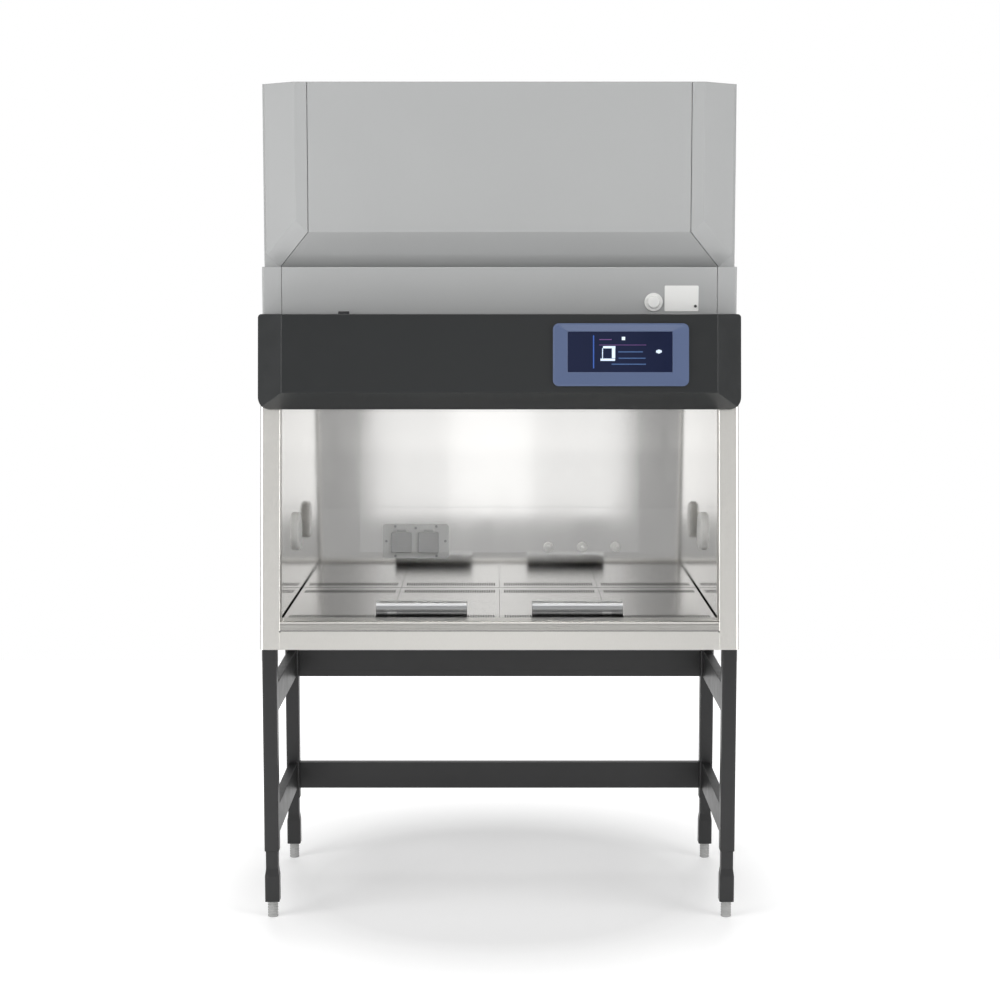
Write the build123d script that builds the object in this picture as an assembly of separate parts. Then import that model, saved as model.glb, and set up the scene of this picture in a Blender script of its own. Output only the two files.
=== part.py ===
from build123d import *
import os
from math import atan2, cos, radians, sin, tan

os.makedirs("parts", exist_ok=True)

# Class II biological safety cabinet on a stand. Millimetres, +Z up, front towards -Y.
# The origin is on the floor, midway between the sides and between front and back.
# A depth called "back" is measured backwards from the casing's lowest front edge.

# Whole cabinet
overall_depth = 800.0
casing_width = 1300.0
stand_height = 770.0
casing_height = 1532.0
front_lean = 6.5

# Sheets, fits and open joints
sheet = 2.0
slack = 0.3
shaft_fit = 0.08
cover_joint = 1.6

# Front posts and base panel
post_width = 54.0
post_return = 50.0
post_side_return = 14.0
post_corner_radius = 8.0
side_joint = 0.5
base_panel_height = 49.0
base_flange = 3.0
relief_radius = 3.0

# Base pan, sill and work surface
base_seam = 3.0
pan_setback = 9.0
pan_inset = 4.0
work_rise = 72.0
sill_step = 4.0
sill_nose = 10.0
sill_depth = 68.0
sill_ledge = 14.0
sill_radius = 9.0

# Work trays
tray_count = 4
tray_gap = 1.0
tray_rim = 16.0
tray_end_gap = 4.0
rail_depth = 18.0
rail_leg = 22.0
slot_pitch = 7.0
slot_width = 3.5
slot_margin = 10.0
front_slot_length = 58.0
front_slot_setback = 7.0
rear_slot_length = 60.0
rear_slot_setback = 38.0

# Arm rests
arm_rest_length = 252.0
arm_rest_width = 44.0
arm_rest_height = 40.0
arm_rest_edge = 19.0
arm_rest_centre = 216.0
arm_rest_back = 118.0

# Chamber
chamber_height = 778.0
duct_depth = 150.0
lining_setback = 50.0
back_wall_rise = 30.0
service_rise = 192.0
service_inset = 150.0
service_radius = 56.0
service_height = 13.0
service_chamfer = 5.0
service_bore = 24.0
spigot_length = 6.0

# Sockets and blanking plugs on the back wall
socket_plate_width = 200.0
socket_plate_height = 104.0
socket_plate_thick = 3.0
socket_plate_x = -253.0
socket_rise = 143.0
socket_radius = 21.0
socket_wall = 2.0
socket_depth = 26.0
contact_radius = 2.6
contact_spacing = 19.0
flap_width = 62.0
flap_height = 68.0
flap_thick = 9.0
flap_wall = 3.0
flap_stand = 1.0
flap_offsets = (-43.0, 38.0)
flap_pin = 2.0
flap_barrel = 3.5
flap_barrel_length = 28.0
ear_width = 4.0
plug_offsets = (148.0, 250.0, 351.0)
plug_rise = 125.0
plug_radius = 15.0
plug_height = 6.0
plug_bore = 8.0
knob_height = 12.0
knob_radius = 6.0

# Sash, measured along the glass from the sill
sash_back = 68.0
glass = 6.0
sash_length = 615.0
sash_up = 181.0
sash_full = 340.0
sash_rail_width = 18.0
sash_rail_thick = 8.0
guide_thick = 7.5
guide_lap = 2.0
guide_head = 9.0
guide_tail = 10.0

# Belts, pulleys and counterweights
belt_inset = 26.0
belt_width = 10.0
belt_thick = 2.0
belt_radius = 45.0
belt_low = 60.0
belt_high = 870.0
pulley_flange = 1.5
pulley_hole = 8.0
pulley_hole_count = 5
clamp_up = 400.0
clamp_length = 60.0
clamp_thick = 20.0
clamp_wall = 3.0
weight_length = 340.0
weight_depth = 56.0
weight_top_gap = 50.0
weight_gap = 4.0
weight_lining_gap = 2.0
shaft_radius = 8.0
bearing_size = 50.0
bearing_depth = 7.0
axle_base = 18.0

# Hood
hood_rise = 649.0
hood_height = 257.0
hood_overhang = 5.0
hood_sheet = 2.0
hood_face_back = 6.0
hood_facet_width = 70.0
hood_facet_depth = 62.0
hood_chin = 48.0
hood_low_radius = 34.0
hood_top_radius = 10.0
hood_rear_gap = 11.0
hood_lip_gap = 2.0
hood_side_gap = 1.0

# Screen in the hood
bezel_width = 364.0
bezel_height = 168.0
bezel_radius = 16.0
bezel_rise = 8.0
bezel_rim = 4.0
bezel_inset = 260.0
bezel_drop = 108.0
screen_width = 281.0
screen_height = 109.0
screen_shift_x = -2.0
screen_shift_up = 8.0
screen_step = 2.0
screen_glass_thick = 3.0
screen_housing_depth = 28.0
screen_housing_margin = 7.0

# Hinges of the hood
hinge_inset = 146.0
hinge_length = 60.0
hinge_barrel = 6.0
hinge_pin = 3.0
hinge_pin_end = 2.0
hinge_setback = 18.0
hinge_drop = 12.0
leaf_length = 28.0
leaf_thick = 3.0

# Header and lamp behind the hood
header_drop = 26.0
header_height = 32.0
header_depth = 44.0
header_gap = 2.0
lamp_inset = 96.0
lamp_width = 30.0
lamp_height = 20.0
lamp_radius = 13.0
lamp_end = 4.0
lamp_lap = 12.0

# Upper housing
panel_gap = 2.8
lower_panel_height = 128.0
panel_radius = 3.0
strip_radius = 5.0
strip_gap = 2.0
bulge_depth = 64.0
rim_width = 7.0
side_facet_width = 86.0
ribbon_width = 34.0
chin_rise = 94.0
rim_cut = 37.0
cut_slope = 0.95

# Test port in the lower front panel
port_inset = 228.0
port_drop = 96.0
port_radius = 25.0
port_bore = 14.0
port_rise = 10.0
port_step = 4.0

# Roof, back and mains inlet
exhaust_width = 500.0
exhaust_depth = 300.0
grille_slot_length = 36.0
grille_slot_width = 10.0
grille_web = 10.0
inlet_width = 50.0
inlet_height = 28.0
inlet_depth = 30.0
inlet_wall = 2.5
inlet_side_inset = 170.0
inlet_rise = 200.0

# Air path
filter_side_gap = 10.0
filter_back = 242.0
filter_end_gap = 8.0
filter_height = 70.0
filter_wall = 20.0
filter_recess = 10.0
plenum_gap = 2.0
diffuser_front = 172.0
diffuser_slot_length = 30.0
diffuser_slot_width = 8.0
diffuser_pitch_x = 48.0
diffuser_pitch_y = 26.0
exhaust_filter_height = 76.0
exhaust_filter_rim = 10.0
fan_radius = 175.0
fan_eye = 100.0
fan_width = 70.0
fan_standoff = 42.0
fan_plate = 2.5
fan_cone = 14.0
fan_hub = 24.0
fan_shaft = 7.0
fan_shaft_length = 60.0
blade_count = 8
blade_thick = 3.0
blade_sweep = 33.0
motor_radius = 68.0
motor_length = 90.0
motor_gap = 18.0
bracket_width = 120.0
bracket_depth = 40.0
bracket_wall = 3.0

# Stand
leg_size = 40.0
leg_wall = 3.0
leg_radius = 4.0
leg_inset = 17.0
front_leg_back = 86.0
rear_leg_inset = 132.0
leg_tube_bottom = 190.0
extension_top = 260.0
flare_top = 140.0
flare_low = 118.0
end_plate = 20.0
foot_height = 46.0
foot_radius = 14.5
foot_groove = 1.2
foot_rib_count = 5
stud_radius = 6.0
stud_length = 40.0
tube_height = 80.0
tube_thick = 25.0
tube_wall = 2.5
low_tube_z = 220.0
high_tube_drop = 202.0

# Worked-out sizes and places
lean_sin = sin(radians(front_lean))
lean_cos = cos(radians(front_lean))
lean_tan = tan(radians(front_lean))
half_width = casing_width / 2
opening_half = half_width - post_width
lining_half = half_width - lining_setback
bottom_z = stand_height
top_z = bottom_z + casing_height
panel_top_z = bottom_z + base_panel_height
pan_top_z = panel_top_z + base_seam
work_z = bottom_z + work_rise
sill_z = work_z + sill_step
ceiling_z = work_z + chamber_height
hood_z0 = bottom_z + hood_rise
hood_z1 = hood_z0 + hood_height
header_z1 = hood_z1 - header_drop
header_z0 = header_z1 - header_height
strip_z0 = header_z1 + strip_gap
rim_z0 = hood_z1 + lower_panel_height
back_wall = overall_depth - duct_depth
upper_back = sash_back + (strip_z0 - sill_z) * lean_tan - glass / 2 / lean_cos - panel_gap - sheet
rim_back = upper_back + bulge_depth
side_step_back = rim_back + 2 * sheet
leg_x = half_width - leg_inset
rear_leg_back = overall_depth - rear_leg_inset


def front(back):
    """The y of a plane that stands this far back from the casing's front edge."""
    return back - overall_depth / 2


def leaned(z, back=0.0):
    """The y, at height z, of a plane parallel to the leaning front."""
    return front(back + (z - bottom_z) * lean_tan)


def behind_sash(z, out):
    """The y, at height z, of a plane parallel to the glass and out from its middle."""
    return front(sash_back) + (z - sill_z) * lean_tan - out / lean_cos


def block(x, y, z):
    """A box between two limits on each axis."""
    size = [limits[1] - limits[0] for limits in (x, y, z)]
    middle = [(limits[0] + limits[1]) / 2 for limits in (x, y, z)]
    return Pos(*middle) * Box(*size)


def rod(x, y, z, radius, length):
    """A round bar along Y, centred on a point."""
    return Pos(x, y, z) * Rot(90, 0, 0) * Cylinder(radius, length)


def cross_rod(x, y, z, radius, length):
    """A round bar along X, centred on a point."""
    return Pos(x, y, z) * Rot(0, 90, 0) * Cylinder(radius, length)


def side_shape(outline, x0, x1):
    """An outline of (y, z) points, pushed from x0 to x1."""
    face = Plane.YZ.offset(x0) * make_face(Polyline(*outline, close=True))
    return extrude(face, amount=x1 - x0)


def front_shape(outline, back0, back1):
    """An outline of (x, z) points, pushed backwards between two depths."""
    face = Plane.XZ.offset(-front(back1)) * make_face(Polyline(*outline, close=True))
    return extrude(face, amount=back1 - back0)


def folded(half, radius, *points):
    """A sheet folded along (y, z) points, running from -half to half."""
    path = FilletPolyline(*points, radius=radius)
    return extrude(Plane.YZ.offset(-half) * trace(path, line_width=sheet), amount=2 * half)


def lean_shape(sketch, z0, z1):
    """A plan drawn backwards from the front edge, pushed up along the lean."""
    return extrude(
        Pos(0, leaned(z0), z0) * sketch, amount=(z1 - z0) / lean_cos, dir=(0, lean_sin, lean_cos)
    )


def turned(*outline):
    """An outline of (radius, height) points, turned round the Z axis."""
    return revolve(Plane.XZ * make_face(Polyline(*outline, close=True)), Axis.Z)


def facing(x, y, z, direction):
    """A place whose local Z points along a direction."""
    return Plane(origin=(x, y, z), z_dir=direction).location


def group(*pieces):
    """Separate pieces of one kind that share a node."""
    return Compound(children=list(pieces))


def flipped(shape):
    """The same piece for the other side."""
    return mirror(shape, about=Plane.YZ)


def both_sides(name, shape):
    """A right piece and its left twin, each under its own name."""
    return {name + "_right": shape, name + "_left": flipped(shape)}


# The leaning plane of the sash: x across, y up the glass, z out to the front
sash_plane = Plane(
    origin=(0, front(sash_back), sill_z), x_dir=(1, 0, 0), z_dir=(0, -lean_cos, lean_sin)
).location


def sash_block(x, up, out):
    """A box in the sash's own leaning frame."""
    return sash_plane * block(x, up, out)


def run_place(x, up):
    """A place on the middle line of a belt's loop, its local Z across the cabinet."""
    run = Plane(origin=(x, front(sash_back), sill_z), x_dir=(0, lean_sin, lean_cos), z_dir=(1, 0, 0))
    return run.location * Pos(up, -belt_radius, 0)


# Stand


def leg_places():
    """Name, x and y of each leg."""
    for side, x in (("left", -leg_x), ("right", leg_x)):
        yield "front_" + side, x, front(front_leg_back)
        yield "rear_" + side, x, front(rear_leg_back)


def post_section(size, radius, z, height):
    """A square bar with rounded corners, standing at height z."""
    return extrude(Pos(0, 0, z) * RectangleRounded(size, size, radius), amount=height)


def leg_tube():
    """Outer square tube with a closing plate that carries the casing."""
    bar = post_section(leg_size, leg_radius, leg_tube_bottom, bottom_z - leg_tube_bottom)
    bore = post_section(
        leg_size - 2 * leg_wall, leg_radius - leg_wall + slack, leg_tube_bottom - leg_wall, bottom_z - leg_tube_bottom
    )
    return bar - bore


def leg_extension():
    """Inner tube that slides up the leg and flares to the leg's own width at the foot."""
    inner = leg_size - 2 * leg_wall - 2 * slack
    inner_radius = leg_radius - leg_wall
    wide = RectangleRounded(leg_size, leg_size, leg_radius)
    narrow = RectangleRounded(inner, inner, inner_radius)
    low = extrude(Pos(0, 0, foot_height) * wide, amount=flare_low - foot_height)
    flare = loft([Pos(0, 0, flare_low) * wide, Pos(0, 0, flare_top) * narrow])
    neck = extrude(Pos(0, 0, flare_top) * narrow, amount=extension_top - flare_top)
    hollow = post_section(inner - 2 * leg_wall, inner_radius, foot_height + end_plate, extension_top)
    stud_hole = Pos(0, 0, foot_height) * Cylinder(stud_radius + shaft_fit, 2 * end_plate + leg_wall)
    return low + flare + neck - hollow - stud_hole


def foot():
    """Ribbed levelling foot with its threaded stud."""
    pitch = foot_height / (foot_rib_count + 1)
    quarter = pitch / 6
    waist = foot_radius - foot_groove
    outline = [(0, 0), (foot_radius - foot_groove, 0), (foot_radius, foot_groove)]
    for rib in range(foot_rib_count):
        low = (rib + 0.6) * pitch
        outline += [(foot_radius, low), (waist, low + quarter)]
        outline += [(waist, low + 3 * quarter), (foot_radius, low + 4 * quarter)]
    top = foot_height - slack
    outline += [(foot_radius, top), (stud_radius, top)]
    outline += [(stud_radius, foot_height + stud_length), (0, foot_height + stud_length)]
    return turned(*outline)


def tube_between(start, across, along, length):
    """Upright rectangular tube from a point along a direction."""
    ring = Rectangle(tube_thick, tube_height) - Rectangle(tube_thick - 2 * tube_wall, tube_height - 2 * tube_wall)
    return extrude(Plane(origin=start, x_dir=across, z_dir=along) * ring, amount=length)


def stand_rails():
    """Side and rear tubes between the legs, at two heights."""
    rails = []
    run = rear_leg_back - front_leg_back - leg_size
    half = leg_x - leg_size / 2
    for low in (low_tube_z, stand_height - high_tube_drop):
        z = low + tube_height / 2
        side = tube_between((leg_x, front(front_leg_back) + leg_size / 2, z), (1, 0, 0), (0, 1, 0), run)
        rear = tube_between((-half, front(rear_leg_back), z), (0, 1, 0), (1, 0, 0), 2 * half)
        rails += [side, flipped(side), rear]
    return group(*rails)


def stand():
    nodes = {}
    extensions = []
    for name, x, y in leg_places():
        nodes["leg_" + name] = Pos(x, y, 0) * leg_tube()
        nodes["foot_" + name] = Pos(x, y, 0) * foot()
        extensions.append(Pos(x, y, 0) * leg_extension())
    nodes["leg_extensions"] = group(*extensions)
    nodes["stand_rails"] = stand_rails()
    return nodes


# Casing


def front_frame():
    """Posts and base panel, folded from one steel sheet that leans back."""
    inner = opening_half + sheet / 2
    outer = half_width - sheet / 2
    path = FilletPolyline(
        (inner, post_return), (inner, sheet / 2), (outer, sheet / 2), (outer, post_side_return),
        radius=[sheet * 0.6, post_corner_radius - sheet / 2],
    )
    post = lean_shape(trace(path, line_width=sheet), bottom_z, header_z1)
    # The inner return stops above the pan
    post -= block(
        (opening_half - slack, opening_half + sheet + slack),
        (front(pan_setback) - side_joint, front(upper_back)),
        (bottom_z - sheet, pan_top_z + sheet),
    )
    middle = sheet / 2 / lean_cos
    bend_z = panel_top_z - sheet / 2
    path = Polyline(
        (leaned(bottom_z) + middle, bottom_z),
        (leaned(bend_z) + middle, bend_z),
        (leaned(bend_z) + base_flange, bend_z),
    )
    panel = extrude(Plane.YZ.offset(-inner) * trace(path, line_width=sheet), amount=2 * inner)
    relief = rod(opening_half, leaned(panel_top_z), panel_top_z, relief_radius, 2 * base_flange + 4 * sheet)
    return post + flipped(post) + panel - relief - flipped(relief)


def side_panel():
    """Plain outer side, behind the post and the upper covers."""
    inner_rear = front(overall_depth) - sheet
    behind_post = post_side_return + side_joint
    outline = [
        (leaned(bottom_z, behind_post), bottom_z),
        (leaned(header_z1, behind_post), header_z1),
        (front(side_step_back), header_z1),
        (front(side_step_back), top_z - sheet),
        (inner_rear, top_z - sheet),
        (inner_rear, bottom_z),
    ]
    return side_shape(outline, half_width - sheet, half_width)


def back_panel():
    """Flat back with a recessed three-pin mains inlet."""
    y1 = front(overall_depth)
    x = half_width - inlet_side_inset
    z = bottom_z + inlet_rise + inlet_height / 2
    w = inlet_width / 2
    h = inlet_height / 2
    plate = block((-half_width, half_width), (y1 - sheet, y1), (bottom_z, top_z - sheet))
    cup = block((x - w, x + w), (y1 - inlet_depth, y1), (z - h, z + h))
    well = block(
        (x - w + inlet_wall, x + w - inlet_wall),
        (y1 - inlet_depth + inlet_wall, y1 + sheet),
        (z - h + inlet_wall, z + h - inlet_wall),
    )
    panel = plate + cup - well
    pin = Box(sheet, inlet_depth * 0.6, 3 * sheet)
    pin_y = y1 - inlet_depth + inlet_wall + inlet_depth * 0.3
    for dx, dz in ((-inlet_width / 5, 0), (0, inlet_height / 9), (inlet_width / 5, 0)):
        panel += Pos(x + dx, pin_y, z + dz) * pin
    return panel


def base_pan():
    """Open pan under the trays, which catches spills and closes the casing below."""
    half = half_width - sheet - pan_inset
    y0 = front(pan_setback)
    y1 = front(overall_depth) - sheet
    outside = block((-half, half), (y0, y1), (bottom_z, pan_top_z))
    inside = block(
        (sheet - half, half - sheet), (y0 + sheet, y1 - sheet), (bottom_z + sheet, pan_top_z + sheet)
    )
    return outside - inside


exhaust_middle = (filter_back + back_wall - filter_end_gap) / 2


def top_panel():
    """Roof plate, cut to the bulge, with a slotted exhaust opening."""
    near = upper_back + sheet
    far = rim_back + sheet
    near_half = bulge_outline(near, sheet)[-1][0]
    far_half = bulge_outline(rim_back, sheet)[-1][0]
    right = [
        (near_half, front(near)), (far_half, front(far)), (half_width, front(far)), (half_width, front(overall_depth)),
    ]
    left = [(-x, y) for x, y in reversed(right)]
    plate = extrude(Pos(0, 0, top_z - sheet) * make_face(Polyline(*right, *left, close=True)), amount=sheet)
    pitch_x = grille_slot_length + grille_web
    pitch_y = grille_slot_width + grille_web
    slots = GridLocations(pitch_x, pitch_y, int(exhaust_width // pitch_x), int(exhaust_depth // pitch_y))
    cutter = Box(grille_slot_length, grille_slot_width, 4 * sheet)
    return plate - Pos(0, front(exhaust_middle), top_z) * group(*[place * cutter for place in slots])


def bulge_outline(back, inset):
    """Outline (x, z) of the protruding upper front at one depth, its walls inset."""
    share = (rim_back - back) / bulge_depth
    side_wall = (side_facet_width**2 + bulge_depth**2) ** 0.5 / bulge_depth
    chin_wall = (chin_rise**2 + bulge_depth**2) ** 0.5 / bulge_depth
    half = half_width - rim_width - share * side_facet_width - inset * side_wall
    low = rim_z0 + share * chin_rise + inset * chin_wall
    cut = rim_cut + share * (ribbon_width - rim_cut)
    high = top_z + inset
    right = [(half - cut, low), (half, low + cut * cut_slope), (half, high)]
    return [(-x, z) for x, z in reversed(right)] + right


def bulge_solid(inset):
    """The bulge as a frustum between the front plane and the rim plane."""
    loops = []
    for back in (upper_back + inset, rim_back + inset):
        loops.append([Vector(x, front(back), z) for x, z in bulge_outline(back, inset)])
    faces = [Face(Wire.make_polygon(loop)) for loop in loops]
    count = len(loops[0])
    for i in range(count):
        j = (i + 1) % count
        faces.append(Face(Wire.make_polygon([loops[0][i], loops[0][j], loops[1][j], loops[1][i]])))
    return Solid(Shell(faces))


def cover_zone(shrink):
    """What the centre cover takes of the bulge: its front plane and its sloped chin."""
    top_x, top_low = bulge_outline(upper_back, 0)[3]
    low_x = bulge_outline(rim_back, 0)[3][0]
    slant = (low_x - top_x) / (top_low - rim_z0)
    right = [
        (low_x - shrink + slant * bulge_depth, rim_z0 - bulge_depth),
        (top_x - shrink, top_low),
        (top_x - shrink, top_z + bulge_depth),
    ]
    outline = [(-x, z) for x, z in reversed(right)] + right
    return front_shape(outline, upper_back - sheet, rim_back + 2 * sheet)


def upper_covers():
    """Centre cover with its chin, and side covers with ribbon, facet and rim flange."""
    shell = bulge_solid(0) - bulge_solid(sheet)
    depths = (front(upper_back - sheet), front(rim_back + 2 * sheet))
    rim_half = bulge_outline(rim_back, 0)[3][0]
    right_half = block((0, half_width), depths, (rim_z0, top_z))
    flange = block((rim_half, half_width), (front(rim_back), front(rim_back + sheet)), (rim_z0, top_z))
    flange -= front_shape(bulge_outline(rim_back, sheet), rim_back - sheet, rim_back + 2 * sheet)
    side = (shell - cover_zone(0)) & right_half
    return {
        "upper_front_cover": shell & cover_zone(cover_joint),
        **both_sides("upper_side_cover", side + flange),
    }


port_x = half_width - port_inset
port_z = rim_z0 - port_drop


def lower_front_panel():
    """Centre panel under the bulge, folded back into a ledge at its top."""
    middle = sheet / 2
    panel = folded(
        opening_half - cover_joint / 4,
        panel_radius,
        (front(upper_back) + middle, strip_z0),
        (front(upper_back) + middle, rim_z0 - middle),
        (front(rim_back + sheet), rim_z0 - middle),
    )
    return panel - rod(port_x, front(upper_back), port_z, port_bore, 4 * sheet)


def corner_strip():
    """Boxed strip beside the lower panel, which turns the corner to the side panel."""
    x0 = opening_half + cover_joint / 2
    y0 = front(upper_back)
    y1 = front(side_step_back)
    outside = block((x0, half_width), (y0, y1), (strip_z0, rim_z0))
    corner = outside.edges().filter_by(Axis.Z).sort_by(Axis.Y)[:2].sort_by(Axis.X)[-1:]
    outside = fillet(corner, strip_radius)
    inside = block(
        (x0 - sheet, half_width - sheet), (y0 + sheet, y1 + sheet), (strip_z0 - sheet, rim_z0 - sheet)
    )
    return outside - inside


def test_port_plug():
    """Round plug with a raised grip in the panel's test port."""
    stem = port_bore - slack
    grip = port_radius * 0.62
    body = turned(
        (0, -4 * sheet), (stem, -4 * sheet), (stem, 0), (port_radius, 0), (port_radius, port_step - 1),
        (port_radius - 1, port_step), (grip + 2, port_step), (grip, port_rise - 1), (grip - 1, port_rise),
        (0, port_rise),
    )
    return facing(port_x, front(upper_back), port_z, (0, -1, 0)) * body


# Chamber


def sill():
    """Rounded front sill of the work surface, folded down to a ledge for the trays."""
    middle = sheet / 2
    nose = front(sill_nose) + middle
    inner = front(sill_nose + sill_depth) + middle
    ledge_z = work_z - sheet - middle
    return folded(
        opening_half,
        [sill_radius, sheet * 0.6, sheet * 0.6],
        (nose, pan_top_z), (nose, sill_z - middle), (inner, sill_z - middle), (inner, ledge_z),
        (inner + sill_ledge, ledge_z),
    )


tray_front = sill_nose + sill_depth + sheet + side_joint
tray_back = back_wall - tray_end_gap
tray_width = (2 * opening_half - (tray_count - 1) * tray_gap) / tray_count


def slot_row(back, length):
    """Cutters for one row of slots across a tray."""
    count = int((tray_width - 2 * slot_margin) // slot_pitch)
    cutter = Box(slot_width, length, 4 * sheet)
    row = group(*[place * cutter for place in GridLocations(slot_pitch, 1, count, 1)])
    return Pos(0, front(back + length / 2), work_z) * row


def work_tray():
    """Folded steel tray: flat top, turned-down sides, a row of air slots front and rear."""
    half = tray_width / 2
    tray = block((-half, half), (front(tray_front), front(tray_back)), (work_z - sheet, work_z))
    rim_y = (front(tray_front + sill_ledge + sheet), front(back_wall - rail_depth - sheet))
    rim = block((half - sheet, half), rim_y, (work_z - tray_rim, work_z))
    tray += rim + flipped(rim)
    tray -= slot_row(tray_front + front_slot_setback, front_slot_length)
    return tray - slot_row(tray_back - rear_slot_setback - rear_slot_length, rear_slot_length)


def work_trays():
    tray = work_tray()
    step = tray_width + tray_gap
    return {f"work_tray_{i + 1}": Pos((i - (tray_count - 1) / 2) * step, 0, 0) * tray for i in range(tray_count)}


def arm_rest():
    """Round-topped rest that lies on the trays, over the front slots."""
    middle_y = front(arm_rest_back) + arm_rest_width / 2
    section = Pos(middle_y, work_z + arm_rest_height / 2) * RectangleRounded(
        arm_rest_width, arm_rest_height, arm_rest_edge
    )
    return extrude(Plane.YZ.offset(arm_rest_centre - arm_rest_length / 2) * section, amount=arm_rest_length)


wall_y = front(back_wall)
socket_z = work_z + socket_rise
socket_centres = [socket_plate_x + offset for offset in flap_offsets]
plug_z = work_z + plug_rise


def back_wall_panel():
    """Rear wall with its sockets and ports cut through, and the trays' rear rail."""
    wall = block((-lining_half, lining_half), (wall_y, wall_y + sheet), (bottom_z + back_wall_rise, ceiling_z))
    for x in socket_centres:
        wall -= rod(x, wall_y, socket_z, socket_radius + sheet, 8 * sheet)
    for x in plug_offsets:
        wall -= rod(x, wall_y, plug_z, plug_bore, 8 * sheet)
    rail_z = work_z - sheet
    flat = block((-opening_half, opening_half), (wall_y - rail_depth, wall_y), (rail_z - sheet, rail_z))
    leg = block((-opening_half, opening_half), (wall_y - sheet, wall_y), (rail_z - rail_leg, rail_z))
    return wall + flat + leg


service_z = work_z + service_rise
service_y = wall_y - service_inset
guide_near = sash_rail_thick / 2 + slack


def side_lining():
    """Chamber side wall, cut along the lean behind the sash guide."""
    low = bottom_z + sheet
    edge = -guide_near - guide_thick
    rear = wall_y + sheet
    outline = [(behind_sash(low, edge), low), (behind_sash(ceiling_z, edge), ceiling_z), (rear, ceiling_z), (rear, low)]
    wall = side_shape(outline, lining_half, lining_half + sheet)
    return wall - cross_rod(lining_half, service_y, service_z, service_bore, 8 * sheet)


def service_port_cover():
    """Round cover on the side wall, with a spigot through it."""
    stem = service_bore - slack
    cover = turned(
        (0, -spigot_length), (stem, -spigot_length), (stem, 0), (service_radius, 0),
        (service_radius, service_height - service_chamfer),
        (service_radius - service_chamfer, service_height), (0, service_height),
    )
    return facing(lining_half, service_y, service_z, (-1, 0, 0)) * cover


def ceiling_diffuser():
    """Perforated chamber ceiling under the supply filter."""
    half = lining_half + sheet
    plate = block((-half, half), (front(diffuser_front), wall_y + sheet), (ceiling_z, ceiling_z + sheet))
    columns = int((2 * filter_half - 4 * filter_wall) // diffuser_pitch_x)
    rows = int((filter_depth - 3 * filter_wall) // diffuser_pitch_y)
    slot = Box(diffuser_slot_length, diffuser_slot_width, 4 * sheet)
    cuts = group(*[place * slot for place in GridLocations(diffuser_pitch_x, diffuser_pitch_y, columns, rows)])
    return plate - Pos(0, front(exhaust_middle), ceiling_z) * cuts


flap_face = wall_y - socket_plate_thick - flap_stand
flap_top = socket_z + flap_height / 2
flap_pin_y = flap_face - flap_wall
flap_pin_z = flap_top - flap_pin


def socket_plate():
    """Moulded plate with two round socket cups and the ears and pins of their flaps."""
    w = socket_plate_width / 2
    h = socket_plate_height / 2
    face_y = wall_y - socket_plate_thick
    plate = block((socket_plate_x - w, socket_plate_x + w), (face_y, wall_y), (socket_z - h, socket_z + h))
    plate = fillet(plate.edges().filter_by(Axis.Y), h / 5)
    ear_x = (flap_barrel_length + ear_width) / 2 + slack
    for x in socket_centres:
        place = facing(x, wall_y, socket_z, (0, -1, 0))
        cup = Pos(0, 0, (socket_plate_thick - socket_depth) / 2) * Cylinder(
            socket_radius, socket_depth + socket_plate_thick
        )
        well = Pos(0, 0, socket_plate_thick) * Cylinder(socket_radius - socket_wall, socket_depth)
        plate += place * cup
        plate -= place * well
        for side in (-1, 1):
            contact = Pos(side * contact_spacing / 2, 0, -socket_depth / 2) * Cylinder(contact_radius, socket_depth / 2)
            plate -= place * contact
            ear = cross_rod(x + side * ear_x, flap_pin_y, flap_pin_z, flap_barrel, ear_width)
            web = Pos(x + side * ear_x, (flap_pin_y + face_y) / 2, flap_pin_z) * Box(
                ear_width, face_y - flap_pin_y, 2 * flap_barrel
            )
            plate += ear + web
        plate += cross_rod(x, flap_pin_y, flap_pin_z, flap_pin, flap_barrel_length + ear_width)
    return plate


def socket_flap(x):
    """Sprung flap over one socket, dished behind, with its barrel at the top."""
    w = flap_width / 2
    lid_top = flap_top - 2 * flap_wall
    lid_low = flap_top - flap_height
    lid = block((x - w, x + w), (flap_face - flap_thick, flap_face), (lid_low, lid_top))
    lid = fillet(lid.edges().filter_by(Axis.Y), flap_wall + 1)
    lid = fillet(lid.faces().sort_by(Axis.Y)[0].edges(), flap_wall / 2)
    lid -= block(
        (x - w + flap_wall, x + w - flap_wall),
        (flap_face - flap_thick + flap_wall, flap_face + flap_wall),
        (lid_low + flap_wall, lid_top - 2 * flap_wall),
    )
    half_barrel = flap_barrel_length / 2
    neck = block(
        (x - half_barrel, x + half_barrel), (flap_pin_y - flap_wall, flap_pin_y + flap_wall / 2),
        (lid_top - flap_wall, flap_pin_z),
    )
    barrel = cross_rod(x, flap_pin_y, flap_pin_z, flap_barrel, flap_barrel_length)
    bore = cross_rod(x, flap_pin_y, flap_pin_z, flap_pin + shaft_fit, 2 * flap_barrel_length)
    return lid + neck + barrel - bore


def blanking_plug(x):
    """Round plug with a waisted grip, closing a spare port in the back wall."""
    stem = plug_bore - slack
    top = plug_height + knob_height
    return facing(x, wall_y, plug_z, (0, -1, 0)) * turned(
        (0, -4 * sheet), (stem, -4 * sheet), (stem, 0), (plug_radius, 0), (plug_radius, plug_height - 2),
        (plug_radius - 2, plug_height), (knob_radius - 1, plug_height), (knob_radius - 2, plug_height + 3),
        (knob_radius, plug_height + 6), (knob_radius, top - 2), (knob_radius - 1.5, top), (0, top),
    )


# Sash and its drive


rail_outer = lining_half + sash_rail_width
belt_x = half_width - belt_inset


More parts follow.
